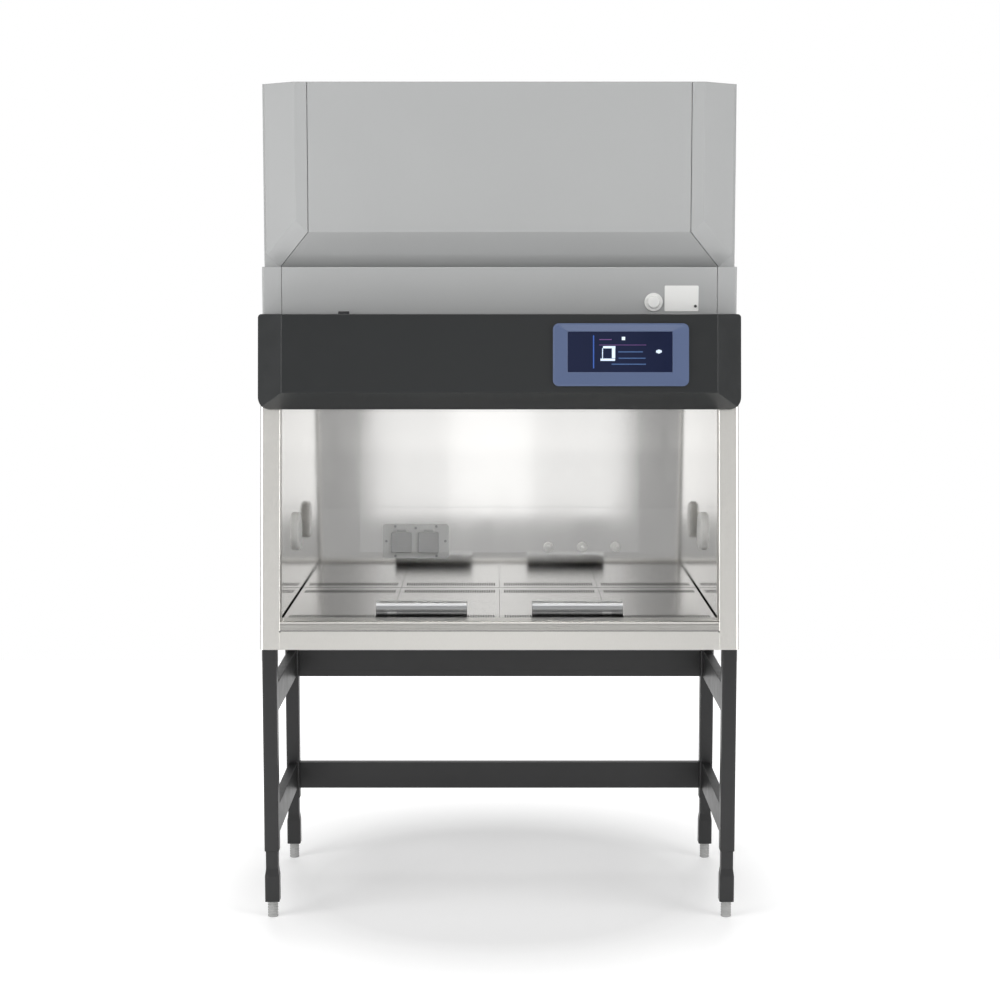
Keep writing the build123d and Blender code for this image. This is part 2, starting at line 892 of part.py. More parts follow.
def belt_slot(up0, up1, out):
    """Cutter for the slot in which a piece grips a belt's run."""
    return sash_block(
        (belt_x - slack, belt_x + belt_width + slack), (up0, up1), (out - belt_thick - slack, out + slack)
    )


def sash_side_rail():
    """Edge profile of the glass, with the block that grips the belt's front run."""
    half = sash_rail_thick / 2
    low = sash_up + clamp_up - clamp_length / 2
    high = low + clamp_length
    rail = sash_block((lining_half, rail_outer), (sash_up, sash_up + sash_length), (-half, half))
    clamp = sash_block(
        (rail_outer, belt_x + belt_width + clamp_wall), (low, high), (-clamp_thick / 2, clamp_thick / 2)
    )
    return rail + clamp - belt_slot(low - 1, high + 1, 0)


def sash_glass():
    """Pane between the two side rails."""
    return sash_block((-lining_half, lining_half), (sash_up, sash_up + sash_length), (-glass / 2, glass / 2))


def guide_strips():
    """Front and rear running strips of the right guide."""
    outer = rail_outer - side_joint
    far = guide_near + guide_thick
    front_length = (header_z1 - sill_z) / lean_cos - guide_head
    rear_length = sash_full + sash_length - guide_tail
    front_strip = sash_block((lining_half - guide_lap, outer), (0, front_length), (guide_near, far))
    rear_strip = sash_block((lining_half, outer), (0, rear_length), (-far, -guide_near))
    return [front_strip, rear_strip]


def sash_belt():
    """Endless flat belt round the upper and lower pulley."""
    span = belt_high - belt_low
    loop = SlotCenterToCenter(span, 2 * belt_radius) - SlotCenterToCenter(span, 2 * (belt_radius - belt_thick))
    return run_place(belt_x, (belt_high + belt_low) / 2) * extrude(loop, amount=belt_width)


def pulley(bore):
    """Belt pulley with a flange either side of the belt, its axis along local Z."""
    tread = belt_radius - belt_thick - slack
    rim = belt_radius + pulley_flange
    half = belt_width / 2 + slack
    outer = half + pulley_flange
    body = turned(
        (bore, -outer), (rim, -outer), (rim, -half), (tread, -half), (tread, half), (rim, half),
        (rim, outer), (bore, outer),
    )
    holes = PolarLocations(tread * 0.6, pulley_hole_count)
    return body - group(*[place * Cylinder(pulley_hole, 4 * belt_width) for place in holes])


def sash_drive():
    """Upper pulleys on one shaft across the cabinet, lower pulleys on stub axles."""
    panel_x = half_width - sheet
    belt_middle = belt_x + belt_width / 2
    upper = run_place(belt_middle, belt_high) * pulley(shaft_radius)
    shaft = run_place(0, belt_high) * Cylinder(shaft_radius, 2 * (panel_x - sheet))
    ring = RectangleRounded(bearing_size, bearing_size, bearing_depth) - Circle(shaft_radius + shaft_fit)
    bearing = run_place(panel_x - bearing_depth, belt_high) * extrude(ring, amount=bearing_depth)
    axle_start = belt_x - pulley_flange - sheet
    axle = run_place(axle_start, belt_low) * extrude(Circle(shaft_radius), amount=panel_x - axle_start)
    axle += run_place(panel_x - bearing_depth, belt_low) * extrude(Circle(axle_base), amount=bearing_depth)
    lower = run_place(belt_middle, belt_low) * pulley(shaft_radius + shaft_fit)
    return {
        "sash_shaft": shaft + upper + flipped(upper),
        "pulley_mounts": group(bearing, flipped(bearing), axle, flipped(axle)),
        "sash_belts": group(sash_belt(), flipped(sash_belt())),
        **both_sides("lower_pulley", lower),
    }


def counterweight():
    """Steel weight that grips the belt's rear run."""
    middle = belt_high - weight_top_gap - weight_length / 2 - sash_up
    low = middle - weight_length / 2
    high = middle + weight_length / 2
    rear_run = belt_thick - 2 * belt_radius
    body = sash_block(
        (lining_half + sheet + weight_gap, half_width - sheet - weight_lining_gap),
        (low, high),
        (rear_run - belt_thick / 2 - weight_depth / 2, rear_run - belt_thick / 2 + weight_depth / 2),
    )
    return body - belt_slot(low - 1, high + 1, rear_run)


# Header, hood and lamp


hinge_x = opening_half - hinge_inset
hinge_centres = (-hinge_x, 0.0, hinge_x)
hinge_y = front(upper_back - hinge_setback)
hinge_z = hood_z1 - hinge_drop
knuckle_length = hinge_length / 3


def hinge_bore(x):
    return cross_rod(x, hinge_y, hinge_z, hinge_pin + shaft_fit, 2 * hinge_length)


def front_header():
    """Folded channel between the posts, with the middle knuckles of the hood's hinges."""
    y1 = front(upper_back - header_gap)
    y0 = y1 - header_depth
    header = block((-opening_half, opening_half), (y0, y1), (header_z0, header_z1))
    header -= block(
        (-opening_half - sheet, opening_half + sheet), (y0 + sheet, y1 - sheet), (header_z0 - sheet, header_z1 - sheet)
    )
    half = knuckle_length / 2 - slack
    for x in hinge_centres:
        header += block((x - half, x + half), (hinge_y - hinge_barrel, hinge_y + hinge_barrel), (header_z1, hinge_z))
        header += cross_rod(x, hinge_y, hinge_z, hinge_barrel, 2 * half)
        header -= hinge_bore(x)
    return header


hood_half = half_width + hood_overhang
hood_face_half = hood_half - hood_facet_width
hood_turn = atan2(hood_facet_depth, hood_facet_width)
chin_run = hood_facet_depth - hood_chin * lean_tan


def hood_plan(inset):
    """Plan of the hood, its walls inset, as it lies at the casing's bottom level."""
    near = hood_face_back - (hood_z0 + hood_chin - bottom_z) * lean_tan
    facet = near + hood_facet_depth + inset * tan(radians(45) - hood_turn / 2)
    corner = hood_face_half - inset * tan(hood_turn / 2)
    rear = upper_back - hood_rear_gap - (hood_z1 - bottom_z) * lean_tan + 10 * inset
    side = hood_half - inset
    right = [(corner, near + inset), (side, facet), (side, rear)]
    left = [(-x, y) for x, y in reversed(right)]
    return Pos(0, front(0) - leaned(bottom_z)) * make_face(Polyline(*right, *left, close=True))


def hood_solid(inset):
    """The hood filled in: leaning plan, sloped chin, corners rounded in front view."""
    raw = lean_shape(hood_plan(inset), hood_z0 + inset, hood_z1 - inset)
    rise = inset * (hood_chin**2 + chin_run**2) ** 0.5 / chin_run
    slope = hood_chin / chin_run
    reach = hood_facet_depth
    y0 = front(hood_face_back) - reach
    y1 = front(hood_face_back) + chin_run + reach
    chin = side_shape(
        [
            (y0, hood_z0 - 2 * reach),
            (y0, hood_z0 + hood_chin + rise + slope * reach),
            (y1, hood_z0 + rise - slope * reach),
        ],
        -2 * hood_half, 2 * hood_half,
    )
    outline = Rectangle(2 * (hood_half - inset), hood_height - 2 * inset)
    outline = fillet(outline.vertices().sort_by(Axis.Y)[:2], hood_low_radius - inset)
    outline = fillet(outline.vertices().sort_by(Axis.Y)[-2:], hood_top_radius - inset)
    middle_z = (hood_z0 + hood_z1) / 2
    front_view = extrude(Plane.XZ.offset(-front(back_wall)) * Pos(0, middle_z) * outline, amount=overall_depth)
    return (raw - chin) & front_view


# The hood's leaning face: x across, y up the face, z out to the front
screen_z = hood_z1 - bezel_drop
screen_plane = Plane(
    origin=(
        hood_face_half - bezel_inset,
        front(hood_face_back) + (screen_z - hood_z0 - hood_chin) * lean_tan,
        screen_z,
    ),
    x_dir=(1, 0, 0),
    z_dir=(0, -lean_cos, lean_sin),
).location
screen_place = screen_plane * Pos(screen_shift_x, screen_shift_up, 0)


def hood_shell():
    """Thin hood, open at the back, with the screen's window and the hinge leaves."""
    shell = hood_solid(0) - hood_solid(hood_sheet)
    # Its bottom ends in front of the posts, and its sides pass outside them
    inside = half_width + hood_side_gap
    shell -= lean_shape(
        Pos(0, back_wall / 2 - hood_lip_gap) * Rectangle(2 * inside, back_wall), hood_z0 - sheet, hood_z1 - 2 * hood_sheet
    )
    margin = 2 * screen_housing_margin + 4 * slack
    shell -= screen_place * Box(screen_width + margin, screen_height + margin, 8 * hood_sheet)
    top = hood_z1 - hood_sheet
    for x in hinge_centres:
        for side in (-1, 1):
            middle = x + side * knuckle_length
            half = knuckle_length / 2 - slack
            shell += cross_rod(middle, hinge_y, hinge_z, hinge_barrel, 2 * half)
            shell += block((middle - half, middle + half), (hinge_y - hinge_barrel, hinge_y), (hinge_z, top))
        half = hinge_length / 2 - slack
        shell += block(
            (x - half, x + half), (hinge_y - hinge_barrel - leaf_length, hinge_y - hinge_barrel + 1),
            (top - leaf_thick, top),
        )
        shell -= hinge_bore(x)
    return shell


def screen_bezel():
    """Frame of the control screen, sloping in to the glass, with its housing behind the hood."""
    inner_rim = RectangleRounded(screen_width + 2 * screen_step, screen_height + 2 * screen_step, screen_step)
    outer_rim = RectangleRounded(bezel_width - 2 * bezel_rim, bezel_height - 2 * bezel_rim, bezel_radius - bezel_rim)
    frame = screen_plane * extrude(RectangleRounded(bezel_width, bezel_height, bezel_radius), amount=bezel_rise)
    funnel = loft([
        Pos(screen_shift_x, screen_shift_up, screen_step) * inner_rim,
        Pos(0, 0, bezel_rise) * outer_rim,
    ])
    margin = 2 * screen_housing_margin
    housing = Pos(0, 0, -screen_housing_depth / 2) * Box(
        screen_width + margin, screen_height + margin, screen_housing_depth
    )
    window = Pos(0, 0, bezel_rise - screen_glass_thick / 2) * Box(screen_width, screen_height, 2 * bezel_rise)
    return frame + screen_place * housing - screen_plane * funnel - screen_place * window


def screen_glass():
    """Flat display pane in the bezel's window."""
    return screen_place * Box(screen_width - 2 * slack, screen_height - 2 * slack, screen_glass_thick)


def hinge_pins():
    length = hinge_length + 2 * hinge_pin_end
    return group(*[cross_rod(x, hinge_y, hinge_z, hinge_pin, length) for x in hinge_centres])


def lamp():
    """Sealed lamp screwed to the inside of the header's front wall, with a half-round diffuser."""
    half = opening_half - lamp_inset
    y0 = front(upper_back - header_gap) - header_depth + sheet
    housing = block((-half, half), (y0, y0 + lamp_width), (header_z0 - lamp_height, header_z0 + lamp_lap))
    tube = cross_rod(0, y0 + lamp_width / 2, header_z0 - lamp_height, lamp_radius, 2 * (half - lamp_end))
    return housing + tube


# Air path


filter_half = lining_half - filter_side_gap
filter_depth = back_wall - filter_end_gap - filter_back
filter_y = (front(filter_back), front(filter_back + filter_depth))
filter_z0 = ceiling_z + sheet
plenum_half = filter_half + plenum_gap + sheet
plenum_y = (filter_y[0] - plenum_gap - sheet, filter_y[1] + plenum_gap + sheet)
plenum_top = top_z - 2 * sheet - exhaust_filter_height
fan_z = (filter_z0 + filter_height + plenum_top) / 2
fan_end = fan_standoff + fan_width
motor_start = fan_end + motor_gap


def supply_filter():
    """Filter cassette over the ceiling, its pleated pack recessed in the frame."""
    z1 = filter_z0 + filter_height
    body = block((-filter_half, filter_half), filter_y, (filter_z0, z1))
    recess = block(
        (filter_wall - filter_half, filter_half - filter_wall),
        (filter_y[0] + filter_wall, filter_y[1] - filter_wall),
        (z1 - filter_recess, z1 + filter_recess),
    )
    return body - recess


def exhaust_filter():
    """Smaller cassette under the exhaust opening."""
    place = Pos(0, front(exhaust_middle), plenum_top)
    width = exhaust_width + 2 * exhaust_filter_rim
    depth = exhaust_depth + 2 * exhaust_filter_rim
    body = Pos(0, 0, exhaust_filter_height / 2) * Box(width, depth, exhaust_filter_height)
    recess = Pos(0, 0, exhaust_filter_height) * Box(width - 2 * filter_wall, depth - 2 * filter_wall, 2 * filter_recess)
    return place * (body - recess)


# The fan's axis runs forward from the plenum's rear wall
fan_place = Plane(origin=(0, plenum_y[1] - sheet, fan_z), x_dir=(1, 0, 0), z_dir=(0, -1, 0)).location


def plenum():
    """Pressure box between the two filters, with the fan's inlet ring and motor bracket."""
    box = block((-plenum_half, plenum_half), plenum_y, (filter_z0, plenum_top))
    box -= block(
        (sheet - plenum_half, plenum_half - sheet),
        (plenum_y[0] + sheet, plenum_y[1] - sheet),
        (filter_z0 - sheet, plenum_top - sheet),
    )
    outlet = Pos(0, front(exhaust_middle), plenum_top) * Box(
        exhaust_width - exhaust_filter_rim, exhaust_depth - exhaust_filter_rim, 4 * sheet
    )
    r = fan_eye
    inlet = fan_place * Cylinder(r + 6 * sheet, 4 * sheet)
    tip = fan_standoff + sheet
    ring = turned(
        (r + 6 * sheet, 0), (r + 20 * sheet, 0), (r + 20 * sheet, sheet), (r + 7 * sheet, sheet),
        (r + sheet, fan_cone), (r - sheet, tip), (r - 2 * sheet, tip), (r, fan_cone - sheet), (r + 5 * sheet, sheet / 2),
    )
    channel = Box(2 * (plenum_half - sheet), bracket_width, bracket_depth)
    channel -= Pos(0, 0, bracket_wall) * Box(2 * plenum_half, bracket_width - 2 * bracket_wall, bracket_depth)
    bracket = fan_place * Pos(0, 0, motor_start + motor_length + bracket_depth / 2) * channel
    return box - outlet - inlet + fan_place * ring + bracket


def fan_wheel():
    """Backward-curved wheel: shroud, blades, back plate, hub and shaft."""
    eye = fan_eye
    shroud = turned(
        (eye, fan_standoff), (eye + fan_plate, fan_standoff), (fan_radius, fan_standoff + fan_cone),
        (fan_radius, fan_standoff + fan_cone + fan_plate), (eye, fan_standoff + fan_plate),
    )
    back_plate = Pos(0, 0, fan_end - fan_plate / 2) * Cylinder(fan_radius, fan_plate)
    hub = Pos(0, 0, fan_end - fan_plate) * Cylinder(fan_hub, motor_gap)
    shaft = Pos(0, 0, fan_end + fan_shaft_length / 2) * Cylinder(fan_shaft, fan_shaft_length)
    sweep = radians(blade_sweep)
    inner = eye * 0.75
    middle = (inner + fan_radius) / 2
    outer = fan_radius - fan_plate
    path = ThreePointArc(
        (inner, 0),
        (middle * cos(sweep * 0.38), middle * sin(sweep * 0.38)),
        (outer * cos(sweep), outer * sin(sweep)),
    )
    blade = extrude(Pos(0, 0, fan_standoff) * trace(path, line_width=blade_thick), amount=fan_width - fan_plate / 2)
    # The blades start behind the inlet ring's tip and follow the shroud's cone
    clear = fan_standoff + 3 * sheet
    blade -= turned(
        (0, 0), (eye, 0), (eye, clear), (0, clear),
    )
    blade -= turned(
        (eye, 0), (2 * fan_radius, 0), (2 * fan_radius, fan_standoff + fan_cone + fan_plate / 2),
        (fan_radius, fan_standoff + fan_cone + fan_plate / 2), (eye, fan_standoff + fan_plate / 2),
    )
    wheel = shroud + back_plate + hub + shaft
    for i in range(blade_count):
        wheel += Rot(0, 0, i * 360 / blade_count) * blade
    return fan_place * wheel


def fan_motor():
    """Round motor behind the wheel, bored for its shaft."""
    end = motor_start + motor_length
    edge = motor_radius / 8
    body = turned(
        (0, motor_start), (motor_radius - edge, motor_start), (motor_radius, motor_start + edge),
        (motor_radius, end - edge), (motor_radius - edge, end), (0, end),
    )
    bore = Pos(0, 0, motor_start) * Cylinder(fan_shaft + shaft_fit, 2 * fan_shaft_length)
    return fan_place * (body - bore)


def all_nodes():
    return {
        **stand(),
        "front_frame": front_frame(),
        **both_sides("side_panel", side_panel()),
        "back_panel": back_panel(),
        "base_pan": base_pan(),
        "top_panel": top_panel(),
        **upper_covers(),
        "lower_front_panel": lower_front_panel(),
        **both_sides("corner_strip", corner_strip()),
        "test_port_plug": test_port_plug(),
        "sill": sill(),
        **work_trays(),
        "arm_rests": group(arm_rest(), flipped(arm_rest())),
        "back_wall": back_wall_panel(),
        **both_sides("side_wall", side_lining()),
        "ceiling_diffuser": ceiling_diffuser(),
        "service_port_covers": group(service_port_cover(), flipped(service_port_cover())),
        "socket_plate": socket_plate(),
        "socket_flap_left": socket_flap(socket_centres[0]),
        "socket_flap_right": socket_flap(socket_centres[1]),
        "blanking_plugs": group(*[blanking_plug(x) for x in plug_offsets]),
        "sash_glass": sash_glass(),
        **both_sides("sash_side_rail", sash_side_rail()),
        "sash_guides": group(*guide_strips(), *[flipped(strip) for strip in guide_strips()]),
        **sash_drive(),
        **both_sides("counterweight", counterweight()),
        "front_header": front_header(),
        "hood_shell": hood_shell(),
        "hinge_pins": hinge_pins(),
        "screen_bezel": screen_bezel(),
        "screen_glass": screen_glass(),
        "lamp": lamp(),
        "supply_filter": supply_filter(),
        "exhaust_filter": exhaust_filter(),
        "plenum": plenum(),
        "fan_wheel": fan_wheel(),
        "fan_motor": fan_motor(),
    }


for name, shape in all_nodes().items():
    export_step(shape, f"parts/{name}.step")
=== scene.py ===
"""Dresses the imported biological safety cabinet: finishes, small fittings, screen image, lights and camera."""

from math import cos, pi, radians, sin

import bpy
from bpy.props import FloatProperty, FloatVectorProperty, IntProperty, PointerProperty
from mathutils import Matrix, Vector


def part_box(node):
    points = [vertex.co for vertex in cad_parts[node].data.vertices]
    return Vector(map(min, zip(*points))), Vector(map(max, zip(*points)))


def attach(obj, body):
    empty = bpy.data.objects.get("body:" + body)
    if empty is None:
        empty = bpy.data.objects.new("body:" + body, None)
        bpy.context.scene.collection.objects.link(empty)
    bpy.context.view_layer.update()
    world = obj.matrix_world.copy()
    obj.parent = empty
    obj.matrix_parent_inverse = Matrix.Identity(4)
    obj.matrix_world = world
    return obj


bl_info = {
    "name": "Safety Cabinet Dressing",
    "version": (1, 0, 0),
    "blender": (4, 5, 0),
    "location": "View3D > Sidebar > Cabinet",
    "description": "Finishes, small fittings, light and camera for a laboratory safety cabinet",
    "category": "Object",
}

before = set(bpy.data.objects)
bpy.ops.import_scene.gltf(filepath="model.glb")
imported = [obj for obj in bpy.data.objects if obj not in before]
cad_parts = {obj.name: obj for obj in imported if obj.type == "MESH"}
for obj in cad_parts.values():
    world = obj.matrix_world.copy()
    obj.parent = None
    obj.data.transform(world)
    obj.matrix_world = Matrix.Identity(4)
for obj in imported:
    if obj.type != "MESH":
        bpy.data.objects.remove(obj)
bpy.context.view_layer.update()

MM = 0.001
ACROSS = Vector((1, 0, 0))
FORWARD = (0, -1, 0)
BACKWARD = (0, 1, 0)
# The screen leans back from the upright by this angle
LEAN = radians(6.5)
UP_LEAN = Vector((0, sin(LEAN), cos(LEAN)))
OUT_LEAN = Vector((0, -cos(LEAN), sin(LEAN)))
SMOOTH_ANGLE = radians(35)
# Most of a pattern's values lie between these two
PATTERN_LOW, PATTERN_HIGH = 0.3, 0.7

# Small fittings, in metres. The bare plate's screw is placed from the plate's middle
PLATE_X, PLATE_Z = 0.4985, 1.7180
PLATE_CORNER = 0.003
PLATE_SCREW_RIGHT, PLATE_SCREW_DOWN = 0.038, 0.021
PLATE_SCREW_HEIGHT = 0.0022
PLATE_SCREW_RECESS = 0.5
SCREW_RECESS = 0.45
BUFFER_SIZE = (0.030, 0.014, 0.007)
BUFFER_EDGE = 0.002
BUFFER_X = -0.425
BUFFER_SETBACK = 0.012
# The lamp's cover is placed from the underside of the lamp
COVER_RADIUS = 13.4 * MM
COVER_AXIS = 13 * MM
COVER_CUT = 12.8 * MM
COVER_END_GAP = 2 * MM
WALL_SHEET = 0.002
SOCKET_PLATE_THICK = 0.003
SOCKET_SCREW_HEIGHT = 1.6 * MM
BACK_SCREW_HEIGHT = 2.2 * MM
BACK_SCREW_INSET = 0.014
BOLT_HEIGHTS = (0.208, 0.244)
BOLT_RADIUS, BOLT_HEAD, BOLT_RECESS = 0.0065, 0.005, 0.003
# Socket plate screws, in millimetres across and up from the plate's middle
SOCKET_SCREWS = [(-62, 45), (62, 45), (-62, -45), (62, -45), (-89, 0), (89, 0), (0, 40)]

# The display's patches: place across and up from its middle, width and height, all in millimetres
DISPLAY_LINE = [(-71, 0, 3.2, 88)]
DISPLAY_PICTURE = [(-29, 12.5, 33, 6), (-17.5, -2, 9, 30), (-33, -21, 39, 6), (-47, -5, 2.2, 30)]
DISPLAY_ROWS = [(28, 0, 66, 3), (32, -17, 72, 3), (23, -33, 92, 3)]
DISPLAY_HEADING = [(7, 18.5, 126, 1.6), (-39, 33, 33, 2.4)]
DISPLAY_MARKS = [(9, 36, 9, 9), (104, 1, 15, 6), (104, 1, 7, 10)]
DISPLAY_LIFT = 1.5 * MM
PATCH_THICK = 0.2 * MM
PATCH_EDGE = 0.1 * MM

# Studio lights: name, place, aim, width and height in metres, power in watts
LIGHTS = (
    ("left_softbox", (-3.6, -2.6, 2.0), (0, -0.2, 1.4), (2.4, 3.2), 112.0),
    ("right_softbox", (3.6, -2.6, 2.0), (0, -0.2, 1.4), (2.4, 3.2), 92.0),
    ("top_light", (0.0, -2.6, 5.4), (0, 0, 1.2), (4.0, 2.5), 60.0),
    ("back_light", (0.0, 4.5, 4.0), (0, 0.2, 1.4), (5.0, 3.0), 90.0),
    # Two upright panels behind the camera, which the chamber's bright steel mirrors as pale bands
    ("wide_panel", (0.0, -9.0, 2.0), (0, 0, 2.0), (2.0, 4.0), 15.0),
    ("narrow_panel", (-0.06, -8.9, 2.0), (-0.06, 0, 2.0), (0.62, 4.0), 1.6),
)
CHAMBER_LAMP_AIM = (0, 0.15, 0.9)
CHAMBER_LAMP_SIZE = (1.0, 0.03)
CHAMBER_LAMP_COLOUR = (1, 0.99, 0.97)
# The chamber's light hangs this far behind and below the lamp
CHAMBER_LAMP_BACK, CHAMBER_LAMP_DROP = 0.03, 0.012
FLOOR_SIZE = 7
# The floor's glow near the cabinet is lowered as a painted shade under it
FLOOR_GLOW_NEAR_PAINTED_SHADE, FLOOR_GLOW_FAR = 0.2, 0.8
# The floor's glow changes within 1 / 0.55 m of the cabinet's middle
FLOOR_GLOW_SCALE = 0.55
SURROUNDINGS_LIGHT, SURROUNDINGS_SEEN = 0.36, 1.0

# The camera that the photo was matched with: metres, degrees below level, millimetres, share of the width
CAMERA_PLACE = (0, -5.685, 1.741)
CAMERA_DOWN = 6.07
CAMERA_LENS, CAMERA_SENSOR = 71.1, 36.0
CAMERA_SHIFT = 0.0005


# Colours and node trees


def linear(code):
    """An sRGB hex code as the linear red, green, blue and alpha that the shader wants."""
    values = []
    for i in (0, 2, 4):
        c = int(code[i : i + 2], 16) / 255
        values.append(c / 12.92 if c <= 0.04045 else ((c + 0.055) / 1.055) ** 2.4)
    return (*values, 1.0)


def add(tree, kind, inputs=(), **settings):
    """Adds one node, sets its properties, and sets or links its inputs."""
    made = tree.nodes.new(kind)
    for key, value in settings.items():
        setattr(made, key, value)
    for key, value in dict(inputs).items():
        if isinstance(value, bpy.types.NodeSocket):
            tree.links.new(value, made.inputs[key])
        else:
            made.inputs[key].default_value = value
    return made


def start_material(name, colour, roughness, metallic=0.0, **constants):
    """A new material with its plain values on the shader, and its object coordinates."""
    material = bpy.data.materials.new(name)
    material.use_nodes = True
    tree = material.node_tree
    shader = tree.nodes["Principled BSDF"]
    shader.inputs["Base Color"].default_value = colour
    shader.inputs["Roughness"].default_value = roughness
    shader.inputs["Metallic"].default_value = metallic
    for key, value in constants.items():
        shader.inputs[key.replace("_", " ")].default_value = value
    coords = add(tree, "ShaderNodeTexCoord").outputs["Object"]
    return material, tree, shader, coords


def grain(tree, coords, size, stretch=(1, 1, 1), detail=2.0):
    """A noise with spots this many millimetres across, drawn out along an axis where stretch is over 1."""
    scale = [1 / (size * MM * s) for s in stretch]
    place = add(tree, "ShaderNodeMapping", {"Vector": coords, "Scale": scale}).outputs["Vector"]
    inputs = {"Vector": place, "Scale": 1.0, "Detail": detail, "Roughness": 0.6}
    return add(tree, "ShaderNodeTexNoise", inputs).outputs["Fac"]


def vary(tree, value, low, high, socket):
    """Lets a pattern move one of the shader's values between two limits."""
    limits = {"From Min": PATTERN_LOW, "From Max": PATTERN_HIGH, "To Min": low, "To Max": high}
    span = add(tree, "ShaderNodeMapRange", {"Value": value, **limits})
    tree.links.new(span.outputs["Result"], socket)


def tint(tree, value, dark, light, shader):
    """Lets a pattern move the base colour between two near tones."""
    mix = add(tree, "ShaderNodeMix", {"Factor": value, "A": dark, "B": light}, data_type="RGBA")
    tree.links.new(mix.outputs["Result"], shader.inputs["Base Color"])


def relief(tree, value, depth, strength, shader, fold=0.0):
    """Raises the surface by a pattern, its depth in millimetres, and rounds sheet folds to a small radius."""
    bump = add(tree, "ShaderNodeBump", {"Height": value, "Distance": depth * MM, "Strength": strength})
    if fold:
        bend = add(tree, "ShaderNodeBevel", {"Radius": fold * MM}, samples=6)
        tree.links.new(bend.outputs["Normal"], bump.inputs["Normal"])
    tree.links.new(bump.outputs["Normal"], shader.inputs["Normal"])


def shade(colour, factor):
    """The same colour, a little darker or lighter."""
    return (*[min(1.0, c * factor) for c in colour[:3]], 1.0)


# Finishes, each named for the real material


def powder_coat(name, colour, roughness):
    """Baked polyester powder: an even, satin skin with a fine orange-peel ripple about 1.5 mm across."""
    material, tree, shader, coords = start_material(
        name, colour, roughness, Coat_Weight=0.1, Coat_Roughness=0.35
    )
    # The real ripple is too fine to show, so it is drawn twice as coarse
    relief(tree, grain(tree, coords, 3.0), 0.06, 0.25, shader, fold=3.0)
    cloud = grain(tree, coords, 260.0, detail=1.0)
    tint(tree, cloud, shade(colour, 0.97), shade(colour, 1.03), shader)
    vary(tree, grain(tree, coords, 40.0), roughness - 0.03, roughness + 0.04, shader.inputs["Roughness"])
    return material


def brushed_stainless(name, colour, roughness, along, depth=0.02):
    """Stainless steel with the mill's brushed grain: long hair lines along one axis, in tone and in gloss."""
    material, tree, shader, coords = start_material(name, colour, roughness, 1.0)
    # Real hair lines are about 0.1 mm wide. They are drawn 1 mm wide, so that they show
    stretch = [1.0, 1.0, 1.0]
    stretch[along] = 140.0
    lines = grain(tree, coords, 1.1, stretch, 3.0)
    vary(tree, lines, roughness * 0.82, roughness * 1.2, shader.inputs["Roughness"])
    tint(tree, lines, shade(colour, 0.93), shade(colour, 1.04), shader)
    relief(tree, lines, depth, 0.35, shader)
    return material


def polished_stainless(name, colour, roughness):
    """Bright annealed stainless, as chambers are lined: near mirror, a faint rolled grain, a wiping haze."""
    material, tree, shader, coords = start_material(name, colour, roughness, 1.0)
    haze = grain(tree, coords, 180.0, (1, 1, 2.5), 2.0)
    vary(tree, haze, roughness * 0.8, roughness * 1.3, shader.inputs["Roughness"])
    lines = grain(tree, coords, 1.5, (1, 1, 200.0), 2.0)
    relief(tree, lines, 0.01, 0.2, shader)
    tint(tree, haze, shade(colour, 0.97), shade(colour, 1.02), shader)
    return material


def moulded_plastic(name, colour, roughness, **constants):
    """Moulded ABS: an even colour with a spark-eroded texture about 0.5 mm across and a soft sheen."""
    material, tree, shader, coords = start_material(name, colour, roughness, **constants)
    relief(tree, grain(tree, coords, 1.2), 0.03, 0.3, shader)
    gloss = grain(tree, coords, 90.0, detail=1.0)
    vary(tree, gloss, roughness - 0.015, roughness + 0.015, shader.inputs["Roughness"])
    tint(tree, grain(tree, coords, 120.0, detail=1.0), shade(colour, 0.98), shade(colour, 1.02), shader)
    return material


def turned_metal(name, colour, roughness):
    """Machined metal: a fine cloudy tool finish with small marks of handling."""
    material, tree, shader, coords = start_material(name, colour, roughness, 1.0)
    marks = grain(tree, coords, 2.0, (3, 1, 1), 4.0)
    vary(tree, marks, roughness * 0.8, roughness * 1.3, shader.inputs["Roughness"])
    relief(tree, marks, 0.02, 0.3, shader)
    tint(tree, marks, shade(colour, 0.94), shade(colour, 1.03), shader)
    return material


def galvanised_sheet(name, colour, roughness):
    """Galvanised steel: dull zinc with the flat crystal flakes of the bath, about 12 mm across."""
    material, tree, shader, coords = start_material(name, colour, roughness, 0.9)
    flakes = add(tree, "ShaderNodeTexVoronoi", {"Vector": coords, "Scale": 1 / (12 * MM)})
    bright = add(tree, "ShaderNodeRGBToBW", {"Color": flakes.outputs["Color"]}).outputs["Val"]
    vary(tree, bright, roughness * 0.8, roughness * 1.25, shader.inputs["Roughness"])
    tint(tree, bright, shade(colour, 0.85), shade(colour, 1.08), shader)
    return material


def pleated_paper(name, colour, pitch):
    """Glass-fibre filter paper in pleats: a dull white face striped by the shadow between the folds."""
    material, tree, shader, coords = start_material(name, colour, 0.9)
    # The wave repeats 20 / (2 * pi) times per unit of scale, so about three stripes fall on one pitch
    inputs = {"Vector": coords, "Scale": 1 / (pitch * MM), "Distortion": 0.3, "Detail": 1.0}
    wave = add(tree, "ShaderNodeTexWave", inputs, bands_direction="X").outputs["Fac"]
    tint(tree, wave, shade(colour, 0.55), colour, shader)
    relief(tree, wave, 2.0, 0.6, shader)
    return material


def woven_belt(name, colour):
    """Polyester drive belt: black, dull, with a cross weave about 1 mm wide."""
    material, tree, shader, coords = start_material(name, colour, 0.75)
    weave = grain(tree, coords, 1.2, (4, 1, 1), 2.0)
    relief(tree, weave, 0.1, 0.5, shader)
    tint(tree, weave, shade(colour, 0.7), shade(colour, 1.5), shader)
    return material


